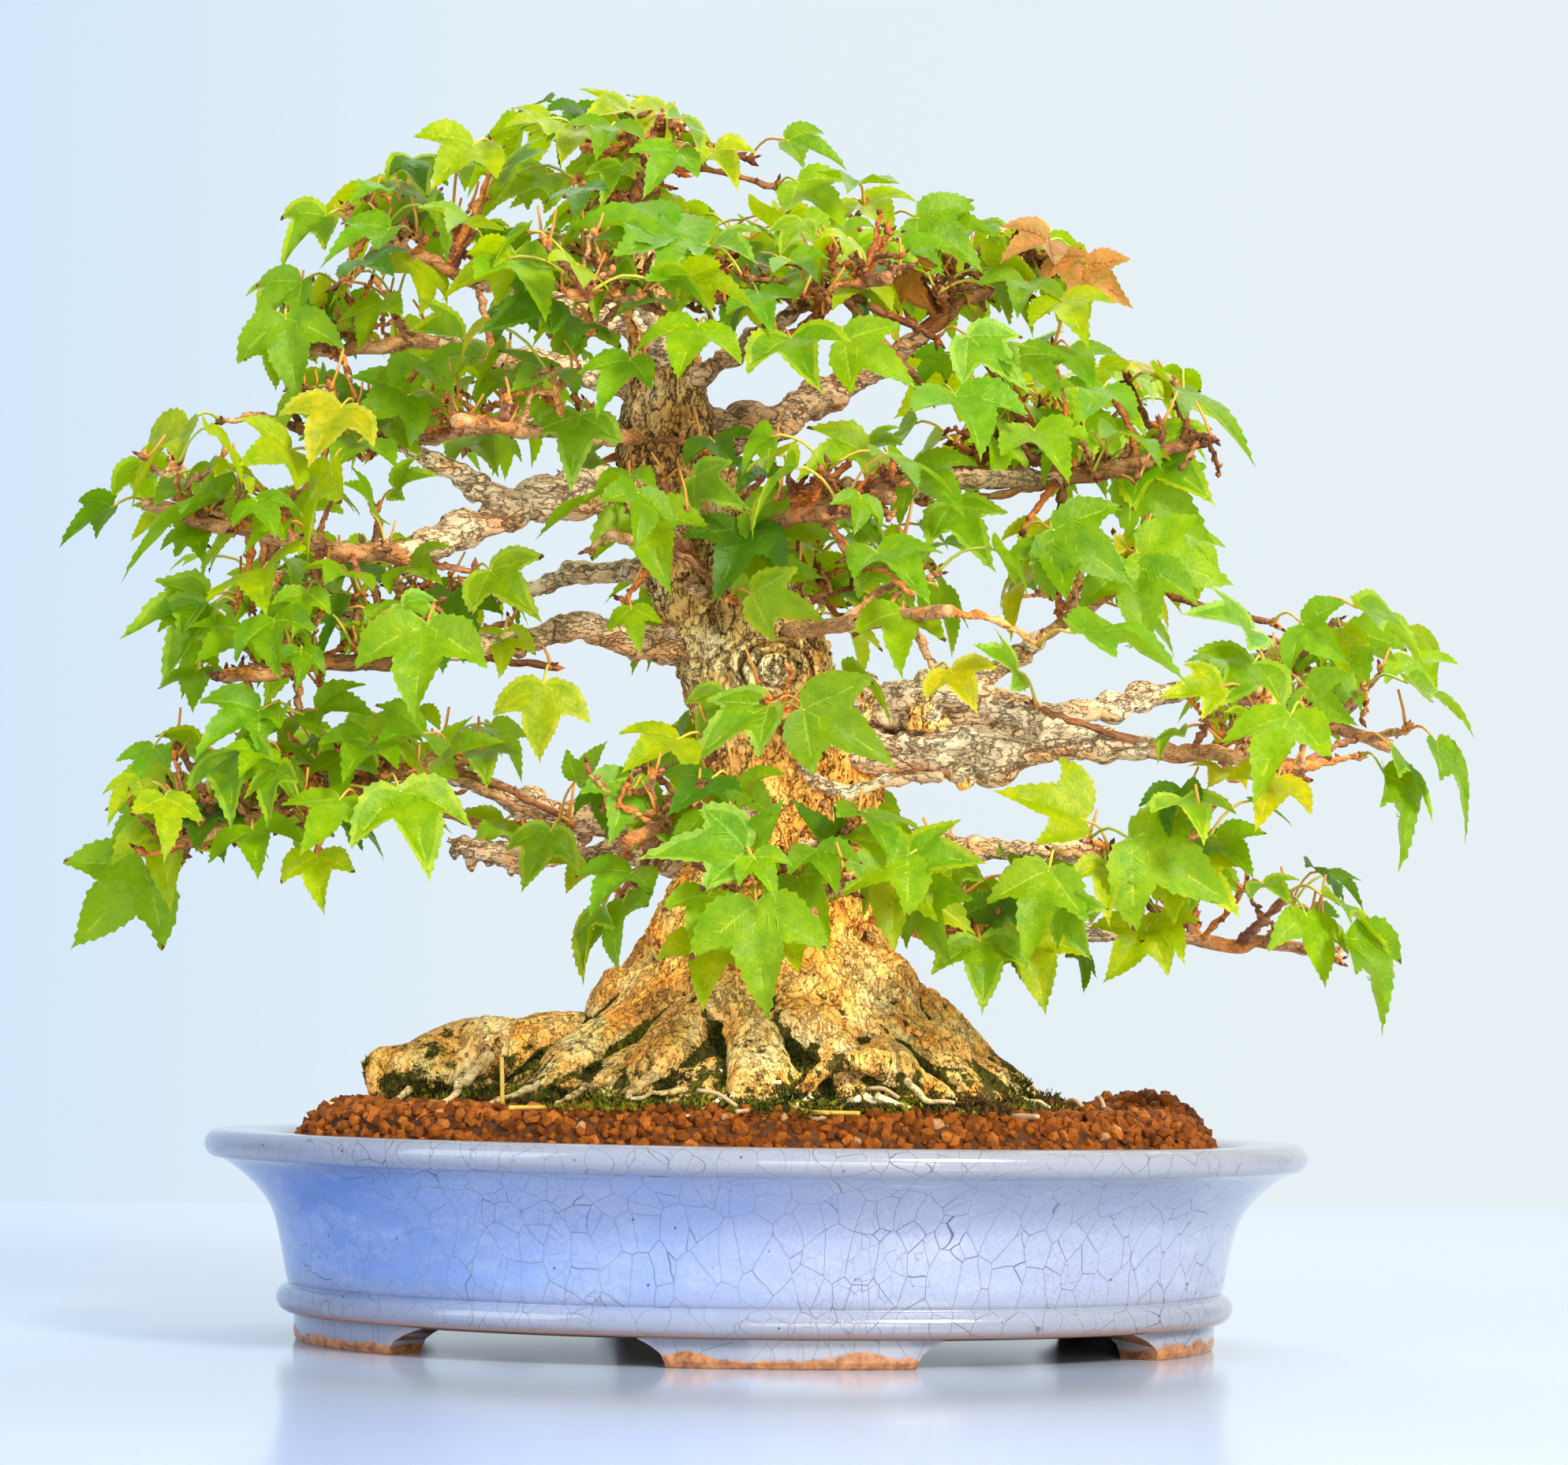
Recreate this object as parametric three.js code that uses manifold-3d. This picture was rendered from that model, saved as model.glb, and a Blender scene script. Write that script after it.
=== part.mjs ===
// Maple bonsai with three-lobed leaves in an oval glazed pot, in millimetres, +Z up, front towards -Y.
// The origin ends up under the middle of the whole plant, on the surface that the pot stands on.
import * as THREE from 'three';
import { mergeVertices } from 'three/addons/utils/BufferGeometryUtils.js';
import Module from 'manifold-3d';

const wasm = await Module();
wasm.setup();

// The gap left between pieces that touch
const GAP = 0.3;

// Driving dimensions of the pot
const POT_HALF_LENGTH = 185.8;
const POT_HALF_WIDTH = 142.8;
const LIP_RADIUS = 4.6;
const LIP_HEIGHT = 64.4;
const LIP_FLAT = 20;
const WALL = 8.5;
const BEAD_RADIUS = 4.6;
const BEAD_HALF_LENGTH = 160.9;
const BEAD_HEIGHT = 13.9;
const FOOT_HEIGHT = 8.8;
const FOOT_DEPTH = 17;
const FRONT_FOOT_HALF = 39;
const FRONT_FOOT_SPLAY = 0.2;
const END_FOOT_HALF = 66;
const END_FOOT_SPLAY = 0.65;
const FOOT_FLARE = 9;
const FLOOR_TOP = 16;
const DRAIN_RADIUS = 11;
const DRAIN_SPACING = 82;
const DRAIN_SIDES = 12;
const POT_SIDES = 36;
// How much narrower the oval is than it is long, and the least share it narrows to inside the pot
const NARROWING = POT_HALF_LENGTH - POT_HALF_WIDTH;
const INNER_SHARE = 0.7;
// The wall above the bead: how far it stands out past the bead's middle, and the height there
const WALL_FLARE = [[1.2, 19.6], [3.4, 31], [7, 43.5], [13, 51.5]];
// The inside of the wall from the lip down: how far out past the wall's foot, and the height there
const INNER_FLARE = [[8, 58], [1, 24], [-5, FLOOR_TOP]];
const INNER_LIP_SLOPE = { inwards: 4, down: 2 };
const FOOT_INSET = 1.5;
const FOOT_CHAMFER = 1.5;
const FOOT_BURIED = 2;
const FOOT_CURVE = { out: 2, share: 0.7 };
const CUTTER_MARGIN = { below: 1, above: 4, outside: 5, inwardShare: 0.45 };

// Driving dimensions of the soil
const SOIL_TOP = 78;
const SOIL_SHOULDER = 140;
const SOIL_EDGE_TOP = 64.5;
const SOIL_FLARE = [[-6, FLOOR_TOP + GAP], [0, 24], [7, 57], [9, SOIL_EDGE_TOP]];
const SOIL_ROUNDING = { out: 8, down: 3, flat: 18 };
const HEAP = { x: 137, y: 12, height: 6.5, spread: 32 };

// Driving dimensions of the tree
const TREE_TURN = THREE.MathUtils.degToRad(-6.12);
const TRUNK_SIDES = 12;
const TRUNK_RINGS = 14;
// The trunk's flutes: how many round it, how deep as a share of its radius, and their turn
const FLUTES = [{ count: 3, depth: 0.06, turn: 0.6 }, { count: 5, depth: 0.04, turn: 0 }];
// The trunk slims towards the soil between its roots, by this share, from one height down
const BASE_SLIMMING = { share: 0.16, from: 140, over: 60 };
const ROOT_SIDES = 6;
const ROOT_RINGS = 3;
const ROOT_DIVE = 9;
const ROOT_HEAD = 5;
const BLUNT_RINGS = 5;
const BLUNTNESS = 0.45;
const BOUGH_SIDES = 5;
const BOUGH_RINGS = 4;
const BOUGH_TAPER = 0.6;
const TWIG_SIDES = 3;
const TWIG_TIP = 0.8;
const TWIG_ROOT = 1;
const STEM_ROOT = 3;
const STEM_TIP = 2.2;
const STEM_SEAT = 1.5;
const STEM_RINGS = 3;
const STEM_REACH = 0.45;
const STEM_BEND = { share: 0.4, onwards: 5 };
const FORK = { first: 0.3, step: 0.05, count: 15, back: 0.15, least: 0.25 };
const TWIG_REACH = 0.7;
// A three-lobed leaf past its stalk, as shares of its length along and across
const LEAF_OUTLINE = [[0.52, -0.53], [0.55, -0.2], [1, 0], [0.55, 0.2], [0.52, 0.53]];
const LEAF_CENTRE = 0.34;
const LOBE_FALL = 0.12;
const LEAF_LENGTH = 44;
const LEAF_LENGTH_SHARES = [0.86, 1.14];
const LEAF_THICKNESS = 1.2;
const LEAF_DROOP = [22, 62];
const LEAF_BEARING_SPREAD = 0.7;
const LEAF_ROLL_SPREAD = 0.9;
const LEAF_TRIES = 8;
const LEAF_CLEARANCE = 3 * GAP;
const SPACE_PER_LEAF = 7000;
const CANDIDATES = 12;
const LEAF_SWING = 0.5;
const LAYERS = 3;
// Where a twig ends, as shares of the space's half height: a dome with layers and some chance in it
const DOME = { crown: 0.45, fall: 0.3, layers: 0.8, chance: 0.2 };
const OUTWARD_PULL = 0.7;
const GOLDEN_ANGLE = Math.PI * (3 - Math.sqrt(5));
const SPACE_POWER = 3;
const SPACE_LIMIT = 1.25;

// The trunk's axis from the soil to the tip: height, sideways and backward place, radius
const TRUNK = [
  { z: 76, x: 3, y: 0, radius: 59 },
  { z: 96, x: 3, y: 0, radius: 54 },
  { z: 118, x: 2, y: 0, radius: 47 },
  { z: 138, x: 2, y: 0, radius: 37 },
  { z: 160, x: 9, y: -1, radius: 30.5 },
  { z: 188, x: 13, y: -2, radius: 26 },
  { z: 212, x: 3, y: -3, radius: 23.5 },
  { z: 240, x: -9, y: -3, radius: 25 },
  { z: 268, x: -22, y: -2, radius: 21.5 },
  { z: 298, x: -34, y: 0, radius: 18.5 },
  { z: 324, x: -36, y: -1, radius: 13 },
  { z: 350, x: -43, y: -4, radius: 7.5 },
  { z: 378, x: -49, y: -6, radius: 3.6 },
];

// Surface roots: heading in degrees from +X, where they leave the trunk, how far they reach, radii
const ROOTS = [
  { heading: 183, start: 24, reach: 133, crest: 93, thick: 19, end: 13.5, blunt: true },
  { heading: 214, start: 24, reach: 98, crest: 94, thick: 18, end: 9 },
  { heading: 240, start: 26, reach: 84, crest: 97, thick: 18, end: 8 },
  { heading: 268, start: 24, reach: 80, crest: 96, thick: 17, end: 9 },
  { heading: 296, start: 26, reach: 82, crest: 94, thick: 16, end: 8 },
  { heading: 326, start: 24, reach: 92, crest: 96, thick: 18, end: 8 },
  { heading: 356, start: 22, reach: 99, crest: 100, thick: 19, end: 9 },
  { heading: 34, start: 24, reach: 84, crest: 96, thick: 17, end: 8 },
  { heading: 78, start: 24, reach: 74, crest: 96, thick: 17, end: 9 },
  { heading: 118, start: 24, reach: 78, crest: 94, thick: 17, end: 8 },
  { heading: 150, start: 24, reach: 90, crest: 96, thick: 17, end: 8 },
];

// Boughs: where each starts inside its parent, the crook in its middle, its tip, and its two radii
const BOUGHS = [
  { name: 'low_left', from: [0, -4, 162], crook: [-70, -27, 177], tip: [-112, -39, 190], thick: [7, 3] },
  { name: 'low_left_rear', from: [0, 4, 158], crook: [-63, 14, 165], tip: [-105, 34, 177],
    thick: [6, 2.6] },
  { name: 'mid_left', from: [-5, -2, 228], crook: [-60, -27, 236], tip: [-107, -46, 227], thick: [8, 3] },
  { name: 'mid_left_rear', from: [-15, 5, 253], crook: [-55, 38, 265], tip: [-98, 58, 256],
    thick: [6, 2.6] },
  { name: 'high_left', from: [-25, -2, 286], crook: [-76, -26, 281], tip: [-121, -46, 258],
    thick: [9, 3.4] },
  { name: 'high_left_fork', from: [-84, -30, 277], crook: [-103, -34, 287], tip: [-124, -38, 297],
    thick: [4.5, 2.4] },
  { name: 'crown_left', from: [-36, 0, 322], crook: [-78, 8, 332], tip: [-116, 14, 340], thick: [6, 2.5] },
  { name: 'crown_left_rear', from: [-33, 4, 300], crook: [-60, 40, 316], tip: [-88, 66, 322],
    thick: [5, 2.3] },
  { name: 'top_left', from: [-41, -3, 340], crook: [-72, -2, 352], tip: [-103, -4, 358],
    thick: [4.5, 2.2] },
  { name: 'top_front', from: [-37, -3, 326], crook: [-40, -32, 340], tip: [-46, -56, 344],
    thick: [4.5, 2.2] },
  { name: 'top_right', from: [-35, 2, 303], crook: [14, 14, 321], tip: [52, 24, 348], thick: [8, 2.8] },
  { name: 'top_right_front', from: [-36, -2, 318], crook: [-10, -26, 334], tip: [10, -46, 344],
    thick: [4.5, 2.2] },
  { name: 'high_right', from: [-20, -6, 275], crook: [45, -28, 286], tip: [98, -36, 289], thick: [7, 2.8] },
  { name: 'high_right_rear', from: [-22, 4, 282], crook: [25, 42, 294], tip: [66, 72, 306],
    thick: [6, 2.4] },
  { name: 'mid_right', from: [8, -4, 206], crook: [62, -25, 199], tip: [127, -50, 199], thick: [17, 3.4] },
  { name: 'mid_right_rear', from: [44, -16, 206], crook: [96, -2, 211], tip: [150, 22, 225],
    thick: [7, 2.8] },
  { name: 'mid_right_upper', from: [46, -22, 203], crook: [70, -28, 222], tip: [92, -22, 238],
    thick: [5, 2.3] },
  { name: 'low_right', from: [10, -4, 172], crook: [72, -30, 166], tip: [116, -48, 163],
    thick: [6.5, 2.5] },
  { name: 'low_right_rear', from: [5, 0, 146], crook: [80, 6, 143], tip: [138, 14, 139], thick: [6, 2.3] },
  { name: 'low_front_left', from: [5, -5, 168], crook: [-6, -45, 176], tip: [-18, -76, 178],
    thick: [5, 2.4] },
  { name: 'low_front', from: [10, -5, 156], crook: [16, -48, 162], tip: [20, -82, 164], thick: [5, 2.4] },
];

// Foliage masses: the limb that bears each, the middle and half sizes of its space, and its twigs.
// A mass borne by the trunk says the height that its stem leaves the trunk at.
const MASSES = [
  { name: 'low_left', middle: [-168, -58, 166], half: [68, 44, 38] },
  { name: 'low_left_rear', middle: [-147, 54, 187], half: [58, 42, 31] },
  { name: 'mid_left', middle: [-152, -62, 218], half: [58, 42, 30] },
  { name: 'mid_left_rear', middle: [-151, 74, 252], half: [62, 42, 31] },
  { name: 'high_left', middle: [-182, -54, 270], half: [54, 42, 35] },
  { name: 'high_left_fork', middle: [-142, -34, 300], half: [38, 42, 30] },
  { name: 'crown_left', middle: [-147, 18, 338], half: [38, 44, 28] },
  { name: 'crown_left_rear', middle: [-112, 90, 320], half: [52, 40, 34] },
  { name: 'crown_left_front', trunk: 304, middle: [-90, -74, 298], half: [40, 38, 30] },
  { name: 'top_left', middle: [-130, -6, 374], half: [42, 46, 29] },
  { name: 'top_front', middle: [-57, -88, 338], half: [50, 36, 30] },
  { name: 'top_rear', trunk: 345, middle: [-38, 78, 372], half: [72, 42, 38] },
  { name: 'apex', trunk: 378, middle: [-47, -6, 398], half: [73, 50, 32] },
  { name: 'top_right', middle: [74, 26, 368], half: [52, 50, 32] },
  { name: 'top_right_front', middle: [26, -74, 345], half: [46, 40, 34] },
  { name: 'high_right', middle: [128, -38, 298], half: [38, 46, 34] },
  { name: 'high_right_front', trunk: 272, middle: [29, -94, 272], half: [42, 38, 32] },
  { name: 'high_right_rear', middle: [98, 90, 314], half: [63, 42, 38] },
  { name: 'mid_right', middle: [158, -60, 194], half: [36, 38, 30] },
  { name: 'mid_right_rear', middle: [195, 28, 212], half: [52, 48, 46] },
  { name: 'mid_right_upper', middle: [110, -12, 252], half: [46, 48, 32] },
  { name: 'mid_right_front', trunk: 238, middle: [48, -82, 238], half: [38, 36, 30] },
  { name: 'low_right', middle: [120, -62, 162], half: [50, 38, 32] },
  { name: 'low_right_rear', middle: [166, 20, 137], half: [58, 42, 32] },
  { name: 'low_right_front', trunk: 148, middle: [80, -52, 134], half: [28, 34, 30] },
  { name: 'low_front_left', middle: [-35, -104, 166], half: [36, 34, 34] },
  { name: 'low_front', middle: [17, -114, 147], half: [52, 36, 36] },
  { name: 'mid_front', trunk: 208, middle: [6, -72, 204], half: [40, 32, 24] },
  { name: 'high_front', trunk: 268, middle: [-46, -74, 262], half: [32, 34, 26] },
  { name: 'low_rear', trunk: 176, middle: [2, 100, 188], half: [66, 46, 40] },
  { name: 'mid_rear', trunk: 246, middle: [8, 100, 260], half: [72, 46, 42] },
];

// Finishes
const FINISH = {
  pot: { color: 0xa9b7dc, roughness: 0.2, metalness: 0 },
  soil: { color: 0x6b3a24, roughness: 0.95, metalness: 0 },
  bark: { color: 0x9c7a56, roughness: 0.9, metalness: 0 },
  foliage: { color: 0x5fa626, roughness: 0.45, metalness: 0 },
};

// Repeatable random numbers between 0 and 1 for one seed
function randomStream(seed) {
  let state = seed >>> 0;
  return () => {
    state = (state + 0x6d2b79f5) >>> 0;
    let mixed = Math.imul(state ^ (state >>> 15), 1 | state);
    mixed = (mixed + Math.imul(mixed ^ (mixed >>> 7), 61 | mixed)) ^ mixed;
    return ((mixed ^ (mixed >>> 14)) >>> 0) / 2 ** 32;
  };
}

const vector = (triple) => new THREE.Vector3(...triple);

// A closed geometry as a solid, without the flat triangles that a lathe leaves on its axis
function toSolid(geometry) {
  const bare = geometry.clone();
  bare.deleteAttribute('normal');
  bare.deleteAttribute('uv');
  const merged = mergeVertices(bare, 1e-4);
  const corners = merged.index.array;
  const kept = [];
  for (let i = 0; i < corners.length; i += 3) {
    const [a, b, c] = [corners[i], corners[i + 1], corners[i + 2]];
    if (a !== b && b !== c && c !== a) {
      kept.push(a, b, c);
    }
  }
  const mesh = new wasm.Mesh({
    numProp: 3,
    vertProperties: new Float32Array(merged.attributes.position.array),
    triVerts: new Uint32Array(kept),
  });
  return new wasm.Manifold(mesh);
}

function toGeometry(solid) {
  const mesh = solid.getMesh();
  const geometry = new THREE.BufferGeometry();
  geometry.setAttribute('position', new THREE.BufferAttribute(mesh.vertProperties, 3));
  geometry.setIndex(new THREE.BufferAttribute(mesh.triVerts, 1));
  geometry.computeVertexNormals();
  return geometry;
}

function largestBody(solid) {
  const bodies = solid.decompose();
  return bodies.reduce((best, body) => (body.volume() > best.volume() ? body : best));
}

const join = (solids) => wasm.Manifold.union(solids);

// A limb: a capped cylinder bent along a curve, its radius a function of the way along and the turn
function sweep(curve, radiusAt, sides, rings) {
  const geometry = new THREE.CylinderGeometry(1, 1, 1, sides, rings);
  const frames = curve.computeFrenetFrames(rings, false);
  const centres = Array.from({ length: rings + 1 }, (_, ring) => curve.getPointAt(ring / rings));
  const place = geometry.attributes.position;
  const point = new THREE.Vector3();
  for (let i = 0; i < place.count; i += 1) {
    point.fromBufferAttribute(place, i);
    const along = point.y + 0.5;
    const ring = Math.round(along * rings);
    const radius = radiusAt(along, Math.atan2(point.z, point.x));
    const side = frames.normals[ring].clone().multiplyScalar(point.x * radius);
    const depth = frames.binormals[ring].clone().multiplyScalar(-point.z * radius);
    point.copy(centres[ring]).add(side).add(depth);
    place.setXYZ(i, point.x, point.y, point.z);
  }
  return toSolid(geometry);
}

// The pot's oval: a lathe's round section narrowed front to back by the same amount at every height
function ovalLathe(profile, sides) {
  const geometry = new THREE.LatheGeometry(profile, sides);
  const place = geometry.attributes.position;
  for (let i = 0; i < place.count; i += 1) {
    const radius = Math.hypot(place.getX(i), place.getZ(i));
    const halfWidth = Math.max(radius - NARROWING, radius * INNER_SHARE);
    const share = radius > 0 ? halfWidth / radius : 1;
    place.setXYZ(i, place.getX(i), -place.getZ(i) * share, place.getY(i));
  }
  return geometry;
}

function potProfile() {
  const outline = new THREE.Path();
  const beadX = BEAD_HALF_LENGTH - BEAD_RADIUS;
  const lipX = POT_HALF_LENGTH - LIP_RADIUS;
  const lipTop = LIP_HEIGHT + LIP_RADIUS;
  const innerLip = POT_HALF_LENGTH - LIP_FLAT;
  const quarter = Math.PI / 2;
  outline.moveTo(0, FOOT_HEIGHT);
  outline.lineTo(beadX - BEAD_RADIUS / 2, FOOT_HEIGHT);
  outline.absarc(beadX, BEAD_HEIGHT, BEAD_RADIUS, -quarter, quarter, false);
  WALL_FLARE.forEach(([out, z]) => outline.lineTo(beadX + out, z));
  outline.absarc(lipX, LIP_HEIGHT, LIP_RADIUS, -quarter, quarter, false);
  outline.lineTo(innerLip, lipTop);
  outline.lineTo(innerLip - INNER_LIP_SLOPE.inwards, lipTop - INNER_LIP_SLOPE.down);
  INNER_FLARE.forEach(([out, z]) => outline.lineTo(beadX - WALL + out, z));
  outline.lineTo(0, FLOOR_TOP);
  return outline.getPoints(2);
}

// A foot's cutter: an upright slab whose ends flare outwards to the top and splay with the oval
function footCutter(half, outside, splay) {
  const face = new THREE.Shape();
  const { below, above, outside: spare, inwardShare } = CUTTER_MARGIN;
  const top = FOOT_HEIGHT + above;
  const shoulder = half + FOOT_FLARE;
  const knee = half + FOOT_CURVE.out;
  const kneeHeight = FOOT_HEIGHT * FOOT_CURVE.share;
  face.moveTo(-half, -below);
  face.lineTo(half, -below);
  face.quadraticCurveTo(knee, kneeHeight, shoulder, FOOT_HEIGHT);
  face.lineTo(shoulder, top);
  face.lineTo(-shoulder, top);
  face.lineTo(-shoulder, FOOT_HEIGHT);
  face.quadraticCurveTo(-knee, kneeHeight, -half, -below);
  const depth = outside * inwardShare + spare;
  const slab = new THREE.ExtrudeGeometry(face, { depth, bevelEnabled: false, curveSegments: 3 });
  slab.rotateX(Math.PI / 2);
  slab.translate(0, depth - outside - spare, 0);
  const place = slab.attributes.position;
  for (let i = 0; i < place.count; i += 1) {
    const inwards = place.getY(i) + outside;
    place.setX(i, place.getX(i) * (1 - (splay * inwards) / half));
  }
  return slab;
}

function makePot() {
  const footOuter = BEAD_HALF_LENGTH - BEAD_RADIUS - FOOT_INSET;
  const footInner = footOuter - FOOT_DEPTH;
  const ringProfile = [
    new THREE.Vector2(footInner, 0),
    new THREE.Vector2(footOuter - FOOT_CHAMFER, 0),
    new THREE.Vector2(footOuter, FOOT_HEIGHT / 2),
    new THREE.Vector2(footOuter, FOOT_HEIGHT + FOOT_BURIED),
    new THREE.Vector2(footInner, FOOT_HEIGHT + FOOT_BURIED),
    new THREE.Vector2(footInner, 0),
  ];
  const ring = toSolid(ovalLathe(ringProfile, POT_SIDES));
  const width = footOuter - NARROWING;
  const quarterTurn = Math.PI / 2;
  const cutters = [0, 1, 2, 3].map((side) => {
    const slab = side % 2 === 0
      ? footCutter(FRONT_FOOT_HALF, width, FRONT_FOOT_SPLAY)
      : footCutter(END_FOOT_HALF, footOuter, END_FOOT_SPLAY);
    slab.rotateZ(side * quarterTurn);
    return toSolid(slab);
  });
  const feet = cutters.map((cutter) => ring.intersect(cutter));
  const bowl = toSolid(ovalLathe(potProfile(), POT_SIDES));
  const drains = [-1, 1].map((side) => {
    const drain = new THREE.CylinderGeometry(DRAIN_RADIUS, DRAIN_RADIUS, 3 * FLOOR_TOP, DRAIN_SIDES);
    drain.rotateX(quarterTurn);
    drain.translate(side * DRAIN_SPACING, 0, 0);
    return toSolid(drain);
  });
  return join([bowl, ...feet]).subtract(join(drains));
}

function makeSoil() {
  const edge = BEAD_HALF_LENGTH - BEAD_RADIUS - WALL;
  const profile = [
    new THREE.Vector2(0, FLOOR_TOP + GAP),
    ...SOIL_FLARE.map(([out, z]) => new THREE.Vector2(edge + out, z)),
    new THREE.Vector2(SOIL_SHOULDER + SOIL_ROUNDING.out, SOIL_TOP - SOIL_ROUNDING.down),
    new THREE.Vector2(SOIL_SHOULDER, SOIL_TOP),
    new THREE.Vector2(SOIL_SHOULDER - SOIL_ROUNDING.flat, SOIL_TOP),
    new THREE.Vector2(HEAP.x - HEAP.spread, SOIL_TOP),
    new THREE.Vector2(0, SOIL_TOP),
  ];
  const geometry = ovalLathe(profile, POT_SIDES);
  const place = geometry.attributes.position;
  for (let i = 0; i < place.count; i += 1) {
    const away = Math.hypot(place.getX(i) - HEAP.x, place.getY(i) - HEAP.y) / HEAP.spread;
    if (place.getZ(i) > SOIL_EDGE_TOP + 1 && away < 1) {
      place.setZ(i, place.getZ(i) + HEAP.height * (1 - away * away) ** 2);
    }
  }
  return toSolid(geometry);
}

// The trunk: a leaning, tapering column with the surface roots joined on, cut flat at the soil
const trunkCurve = new THREE.CatmullRomCurve3(TRUNK.map(({ x, y, z }) => new THREE.Vector3(x, y, z)));

function trunkRadius(along) {
  const height = trunkCurve.getPointAt(along).z;
  const above = Math.max(1, TRUNK.findIndex((ring) => ring.z >= height));
  const [low, high] = [TRUNK[above - 1], TRUNK[above]];
  const share = THREE.MathUtils.clamp((height - low.z) / (high.z - low.z), 0, 1);
  return THREE.MathUtils.lerp(low.radius, high.radius, share);
}

function trunkPlace(height) {
  const above = Math.max(1, TRUNK.findIndex((ring) => ring.z >= height));
  const [low, high] = [TRUNK[above - 1], TRUNK[above]];
  const share = (height - low.z) / (high.z - low.z);
  return new THREE.Vector3(low.x, low.y, low.z).lerp(new THREE.Vector3(high.x, high.y, high.z), share);
}

function makeTrunk(extra) {
  const { share, from, over } = BASE_SLIMMING;
  const flute = (sum, { count, depth, turn }, angle) => sum + depth * Math.cos(count * angle + turn);
  const ripple = (angle) => FLUTES.reduce((sum, each) => flute(sum, each, angle), 1);
  const slimming = (height) => 1 - share * THREE.MathUtils.smoothstep(from - height, 0, over);
  const radiusAt = (along, angle) => {
    const height = trunkCurve.getPointAt(along).z;
    return trunkRadius(along) * slimming(height) * ripple(angle) + extra;
  };
  const column = sweep(trunkCurve, radiusAt, TRUNK_SIDES, TRUNK_RINGS);
  const roots = ROOTS.map(({ heading, start, reach, crest, thick, end, blunt }) => {
    const turn = THREE.MathUtils.degToRad(heading);
    const out = new THREE.Vector3(Math.cos(turn), Math.sin(turn), 0);
    const at = (distance, height) => out.clone().multiplyScalar(distance).setZ(height);
    const middle = (start + reach) / 2;
    const dive = blunt ? crest - end / 2 : SOIL_TOP - ROOT_DIVE;
    const head = blunt ? crest + end / 2 : crest + end + ROOT_HEAD;
    const path = new THREE.CatmullRomCurve3([at(start, head), at(middle, crest), at(reach, dive)]);
    const radius = (along) => {
      const rounding = blunt && along > 0.99 ? BLUNTNESS : 1;
      return THREE.MathUtils.lerp(thick, end, along) * rounding + extra;
    };
    return sweep(path, radius, ROOT_SIDES, blunt ? BLUNT_RINGS : ROOT_RINGS);
  });
  const ground = new THREE.BoxGeometry(400, 400, 80);
  ground.translate(0, 0, SOIL_TOP + GAP - extra - 40);
  return join([column, ...roots]).subtract(toSolid(ground));
}

// A bough bends at its crook and tapers fastest near its root, where it swells into the parent
function boughCourse({ crook, tip }) {
  return vector(tip).sub(vector(crook)).normalize();
}

function boughShape(bough, extra) {
  const { from, crook, tip, thick } = bough;
  const end = vector(tip).addScaledVector(boughCourse(bough), extra);
  const curve = new THREE.CatmullRomCurve3([vector(from), vector(crook), end]);
  const radius = (along) => THREE.MathUtils.lerp(thick[0], thick[1], along ** BOUGH_TAPER) + extra;
  return sweep(curve, radius, BOUGH_SIDES, BOUGH_RINGS);
}

// What the foliage has to keep clear of: every solid so far, with its box for a quick first test
const taken = [];

function boxesApart(one, other) {
  return [0, 1, 2].some((axis) => one.min[axis] > other.max[axis] || other.min[axis] > one.max[axis]);
}

function claim(solid, owner) {
  taken.push({ solid, owner, box: solid.boundingBox() });
}

// A swollen copy has to miss every other owner's solids, and the piece itself its own mass's leaves
function isFree({ solid, swollen }, owner) {
  const box = swollen.boundingBox();
  const near = taken.filter((other) => !boxesApart(box, other.box));
  return near.every((other) => (other.owner === owner ? solid : swollen).intersect(other.solid).isEmpty());
}

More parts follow.
